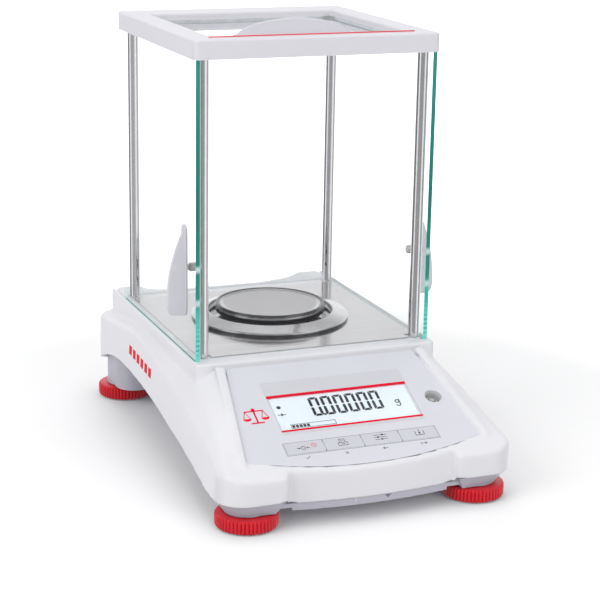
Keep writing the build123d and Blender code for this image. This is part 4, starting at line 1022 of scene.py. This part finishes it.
for nm, sx, sy in (("front_left", -1, -1), ("front_right", 1, -1), ("rear_left", -1, 1), ("rear_right", 1, 1)):
    pr = [(3.1, 1.5), (16.5, 1.5), (16.5, 0.55), (18.9, 0.4), (20.2, 0.7), (20.8, 1.5), (21.0, 2.4), (21.0, 7.9), (20.7, 8.8), (19.9, 9.5), (18.8, 9.75), (3.1, 9.8)]
    o = lathe("wheel_" + nm, pr, sx * 81.3, sy * 139.5, "wheel_" + nm, MAT["red_wheel"], seg=400, angle=38, wave=rib)
    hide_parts("foot_wheel_" + nm)


# ------------------------------------------------------------------ control overlay film with its cut-outs
def offset_poly(pts, d):
    """Polygon (counter-clockwise) grown outward by d."""
    n = len(pts); out = []
    for i in range(n):
        a, p, b = Vector(pts[i - 1]), Vector(pts[i]), Vector(pts[(i + 1) % n])
        e0, e1 = (p - a).normalized(), (b - p).normalized()
        n0, n1 = Vector((e0.y, -e0.x)), Vector((e1.y, -e1.x))
        m = (n0 + n1).normalized()
        out.append(tuple(p + m * (d / max(0.3, m.dot(n0)))))
    return out


_rr = (81.6 ** 2 + 12.8 ** 2) / (2 * 12.8); _a1 = math.asin(81.6 / _rr)
_arc = [(_rr * math.sin(-_a1 + 2 * _a1 * i / 48), -52.4 + _rr - _rr * math.cos(-_a1 + 2 * _a1 * i / 48)) for i in range(49)]
_out = offset_poly([(68.2, 46.7), (-68.2, 46.7)] + _arc, 1.05)
_hole = [[(-50.95, -17.5), (50.95, -17.5), (50.95, 17.5), (-50.95, 17.5)]]
for x in (-40.5, -13.5, 13.5, 40.5):
    _hole.append([(x - 13.4, -38.4), (x + 13.4, -38.4), (x + 13.4, -28.2), (x - 13.4, -28.2)])
_hole.append(circle(65.4, 0, 6.0, 40))
bm = bmesh.new()
for loop in [_out] + _hole:
    vs = [bm.verts.new(P(a, b, 0.0)) for a, b in loop]
    for i in range(len(vs)):
        bm.edges.new((vs[i], vs[(i + 1) % len(vs)]))
bmesh.ops.triangle_fill(bm, use_beauty=True, use_dissolve=False, edges=bm.edges[:], normal=PN)
top = bm.faces[:]
rim = [e for e in bm.edges if len(e.link_faces) == 1]
ext = bmesh.ops.extrude_face_region(bm, geom=top)
for v in [g for g in ext["geom"] if isinstance(g, bmesh.types.BMVert)]:
    v.co -= PN * 0.78
o = finish_obj("control_overlay_film", bm, "base", MAT["overlay_film"], angle=30)
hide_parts("control_overlay")

# ------------------------------------------------------------------ keys
KEYS = (("zero", -40.5), ("print", -13.5), ("function", 13.5), ("tare", 40.5))
for nm, x in KEYS:
    bm = bmesh.new()
    add_prism(bm, fillet2d([(x - 13.25, -38.25), (x + 13.25, -38.25), (x + 13.25, -28.35), (x - 13.25, -28.35)], 0.5, 4), P, -0.85, 0.22)
    # plunger behind the film
    add_prism(bm, [(x - 2, -35.3), (x + 2, -35.3), (x + 2, -31.3), (x - 2, -31.3)], P, -4.0, -0.85)
    o = finish_obj("key_pad_" + nm, bm, "key_" + nm, MAT["key_grey"], angle=40, bevel=0.16)
    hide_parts("key_" + nm)
H0, H1 = 0.18, 0.26
k = Ink(P)                                        # zero: ring between two small arrows
k.arc(-41.7, -33.6, 1.15, 1.55, H0, H1)
for s in (-1, 1):
    k.stroke(-41.7 + s * 4.6, -33.6, -41.7 + s * 2.5, -33.6, 0.35, H0, H1)
    k.poly([(-41.7 + s * 2.0, -33.6), (-41.7 + s * 3.1, -33.6 + 0.8 * s), (-41.7 + s * 3.1, -33.6 - 0.8 * s)], H0, H1)
k.done("key_mark_zero", "key_zero", "key_grey", INK)
k = Ink(P)                                        # standby ring in red
k.arc(-33.9, -31.9, 1.35, 1.75, H0, H1, 118, 422, 30)
k.stroke(-33.9, -31.7, -33.9, -29.9, 0.38, H0, H1)
k.done("key_mark_standby", "key_zero", "red_trim", INK_RED)
k = Ink(P)                                        # print: sheet leaving a printer
x = -14.0
k.rect(x - 3.4, -33.0, x + 3.4, -32.65, H0, H1); k.rect(x - 3.4, -35.6, x + 3.4, -35.25, H0, H1)
k.rect(x - 3.4, -35.5, x - 3.05, -32.7, H0, H1); k.rect(x + 3.05, -35.5, x + 3.4, -32.7, H0, H1)
k.rect(x - 2.0, -30.0, x + 2.0, -29.65, H0, H1); k.rect(x - 2.0, -32.7, x - 1.65, -29.7, H0, H1); k.rect(x + 1.65, -32.7, x + 2.0, -29.7, H0, H1)
k.rect(x - 1.1, -31.4, x + 1.1, -31.1, H0, H1); k.rect(x - 1.6, -34.3, x + 1.6, -33.95, H0, H1)
k.done("key_mark_print", "key_print", "key_grey", INK)
k = Ink(P)                                        # function: three sliders
for i, (a, b) in enumerate(((-30.2, 1.6), (-32.2, -1.9), (-34.2, 0.4))):
    k.stroke(13.5 - 4.4, a, 13.5 + 4.4, a, 0.34, H0, H1)
    k.disc(13.5 + b, a, 0.72, H0 + 0.0, H1 + 0.02, 16)
k.done("key_mark_function", "key_function", "key_grey", INK)
k = Ink(P)                                        # tare: arrow into an open vessel
x = 41.5
k.stroke(x - 3.0, -31.2, x - 3.0, -34.6, 0.4, H0, H1); k.stroke(x + 3.0, -31.2, x + 3.0, -34.6, 0.4, H0, H1)
k.stroke(x - 3.0, -34.6, x + 3.0, -34.6, 0.4, H0, H1); k.stroke(x, -29.6, x, -32.6, 0.4, H0, H1)
k.poly([(x, -33.9), (x + 0.95, -32.4), (x - 0.95, -32.4)], H0, H1)
k.done("key_mark_tare", "key_tare", "key_grey", INK)

# ------------------------------------------------------------------ printing on the overlay
k = Ink(P)
k.rect(-51.2, 17.6, 51.2, 30.6, -0.01, 0.05); k.rect(-51.2, -20.2, 51.2, -17.5, -0.01, 0.05)
k.done("overlay_bands", "base", "overlay_film", BAND)
k = Ink(P)                                        # thin red rules above and below the display
k.rect(-50.95, 15.75, 50.95, 17.45, -1.3, 0.04, 0.1); k.rect(-50.95, -17.45, 50.95, -15.75, -1.3, 0.04, 0.1)
k.done("display_rules", "base", "red_trim", INK_RED)
k = Ink(P)                                        # outline of the key strip and its short dividers
for a in (-54.6, 54.35):
    k.rect(a, -39.0, a + 0.25, -27.7, -0.01, 0.05)
k.rect(-54.6, -39.15, 54.6, -38.9, -0.01, 0.05); k.rect(-54.6, -27.8, 54.6, -27.55, -0.01, 0.05)
for a in (-27.0, 0.0, 27.0):
    k.rect(a - 0.14, -30.4, a + 0.14, -27.6, -0.8, 0.06); k.rect(a - 0.14, -39.1, a + 0.14, -36.6, -0.8, 0.06)
k.done("key_strip_outline", "base", "overlay_film", INK_GREY)
k = Ink(P)                                        # small marks under the keys: tick, cross, back, leave
y = -42.2
k.stroke(-42.9, y, -41.9, y - 1.0, 0.34, -0.01, 0.05); k.stroke(-41.9, y - 1.0, -39.9, y + 1.1, 0.34, -0.01, 0.05)
k.stroke(-15.1, y - 1.0, -13.1, y + 1.0, 0.34, -0.01, 0.05); k.stroke(-15.1, y + 1.0, -13.1, y - 1.0, 0.34, -0.01, 0.05)
k.stroke(11.6, y, 15.0, y, 0.34, -0.01, 0.05); k.stroke(11.6, y, 12.8, y + 1.0, 0.34, -0.01, 0.05); k.stroke(11.6, y, 12.8, y - 1.0, 0.34, -0.01, 0.05)
k.stroke(39.2, y - 1.1, 39.2, y + 1.1, 0.34, -0.01, 0.05); k.stroke(40.2, y, 43.2, y, 0.34, -0.01, 0.05)
k.stroke(43.2, y, 42.1, y + 0.9, 0.34, -0.01, 0.05); k.stroke(43.2, y, 42.1, y - 0.9, 0.34, -0.01, 0.05)
k.done("key_submarks", "base", "overlay_film", INK)
k = Ink(P)                                        # generic weighing pictogram: two pans on a beam
cx, cy = -63.6, -6.2
k.stroke(cx - 4.2, cy, cx + 4.2, cy, 1.2, -0.01, 0.07); k.stroke(cx, cy, cx, cy + 12.2, 1.2, -0.01, 0.07)
k.stroke(cx - 6.3, cy + 11.2, cx + 6.3, cy + 11.2, 1.1, -0.01, 0.07); k.disc(cx, cy + 12.6, 1.3, -0.01, 0.08)
for s in (-1, 1):
    k.stroke(cx + s * 6.3, cy + 11.0, cx + s * 8.6, cy + 4.6, 0.5, -0.01, 0.07)
    k.stroke(cx + s * 6.3, cy + 11.0, cx + s * 4.0, cy + 4.6, 0.5, -0.01, 0.07)
    pts = [(cx + s * 6.3 + 2.9 * math.cos(math.pi + math.pi * i / 14), cy + 4.6 + 2.3 * math.sin(math.pi + math.pi * i / 14)) for i in range(15)]
    k.poly(pts, -0.01, 0.07)
k.done("overlay_pictogram", "base", "red_trim", INK_RED)

# ------------------------------------------------------------------ what the display shows
k = Ink(P)
k.rect(-50.55, -16.15, 50.55, 16.15, -1.40, -1.30, 0.4)
k.done("display_polariser", "base", "display_glass", MAT["display_glass"])
D0, D1 = -1.31, -1.22
k = Ink(P)
for i in range(6):
    k.seg7(-23.0 + 8.78 * i, -4.7, 7.0, 17.8, 1.95, "abcdef", D0, D1, 0.02)
k.rect(-23.0 + 7.05, -4.7, -23.0 + 8.65, -3.05, D0, D1, 0.25)
k.done("display_digits", "base", "display_glass", INK)
k = Ink(P)
k.arc(38.9, 0.55, 0.95, 1.75, D0, D1)                                # unit sign
k.stroke(40.45, 2.0, 40.45, -2.3, 0.75, D0, D1); k.arc(38.9, -2.3, 1.18, 1.92, D0, D1, 195, 360, 16)
k.disc(-44.9, 7.0, 1.5, D0, D1, 20)                                  # stability dot
k.stroke(-47.4, 0.0, -45.6, 0.0, 0.5, D0, D1); k.stroke(-43.8, 0.0, -42.0, 0.0, 0.5, D0, D1)   # centre-of-zero mark
k.poly([(-44.7, 1.5), (-43.7, 0.0), (-44.7, -1.5), (-45.7, 0.0)], D0, D1)
for a in (-13.9, -10.2):                                             # capacity bar: frame and its filled cells
    k.rect(-42.4, a, -10.6, a + 0.32, D0, D1)
k.rect(-42.4, -13.9, -42.1, -9.9, D0, D1); k.rect(-10.9, -13.9, -10.6, -9.9, D0, D1)
for i in range(5):
    k.rect(-41.6 + i * 2.6, -13.1, -39.6 + i * 2.6, -10.7, D0, D1)
k.done("display_symbols", "base", "display_glass", INK)

# ------------------------------------------------------------------ level vial, bubble and target ring
VF = lambda x, y, h: P(65.4 + x, y, h)
_o = lathe_fn("level_dome", [(0, -3.15), (1.6, -3.2), (3.1, -3.4), (4.2, -3.8), (4.9, -4.5), (5.15, -5.4), (5.15, -11.4), (0, -11.4)], VF,
              "base", MAT["vial_liquid"], seg=64, angle=50)
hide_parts("level_vial")
k = Ink(VF)
k.arc(0, 0, 2.15, 2.5, -3.5, -3.16, n=40)
k.done("level_target", "base", "vial_liquid", INK)
lathe_fn("level_bubble", [(0, -2.98), (0.7, -3.02), (1.25, -3.16), (1.5, -3.4), (1.3, -3.7), (0, -3.8)], lambda x, y, h: P(65.4 + 0.3 + x, 0.25 + y, h),
         "base", MAT["display_window"], seg=40, angle=60)

# ------------------------------------------------------------------ plain row of bars on the left flank
from mathutils.bvhtree import BVHTree
_dg = bpy.context.evaluated_depsgraph_get()
_bvh = BVHTree.FromObject(T_HOUSE, _dg)


def flank(y, z, h, side=-1):
    hit = _bvh.ray_cast(Vector((side * 0.13, y * MM, z * MM)), Vector((-side, 0, 0)))
    p = hit[0] if hit[0] is not None else Vector((side * 0.0986, y * MM, z * MM))
    return (p.x / MM + side * h, y, z)


k = Ink(lambda a, b, h: flank(a, b, h))
for i in range(6):
    y0 = 12.5 + i * 9.7; z0 = 52.7 + (y0 - 10) * 0.052
    for j in range(4):                           # each bar in short lengths so that it lies on the curved wall
        a0, a1 = y0 + j * 1.65, y0 + (j + 1) * 1.65 + (0.0 if j < 3 else 0.0)
        k.poly([(a0, z0), (a1, z0), (a1 + 1.1, z0 + 6.4), (a0 + 1.1, z0 + 6.4)], -0.2, 0.06)
k.done("flank_bars", "base", "red_trim", INK_RED)


# ------------------------------------------------------------------ centre mark and tick on the tray's front band
def band_front(a, b, h):
    """Point on the curved front of the tray band, h proud of it."""
    R = (57.0 ** 2 + 5.4 ** 2) / (2 * 5.4)
    return (a, -158.1 + R - math.sqrt(R * R - a * a) - h, b)


k = Ink(band_front)
k.poly([(9.9, 13.2), (12.3, 15.7), (7.5, 15.7)], -0.3, 0.05)
k.done("band_centre_mark", "base", "grey_plastic", INK_GREY)
k = Ink(band_front)
k.rect(-13.2, 13.2, -12.8, 15.7, -0.3, 0.05); k.rect(-13.2, 15.35, -11.9, 15.7, -0.3, 0.05)
k.done("band_tick", "base", "grey_plastic", MAT["white_plastic"] if "white_plastic" in MAT else INK_GREY)
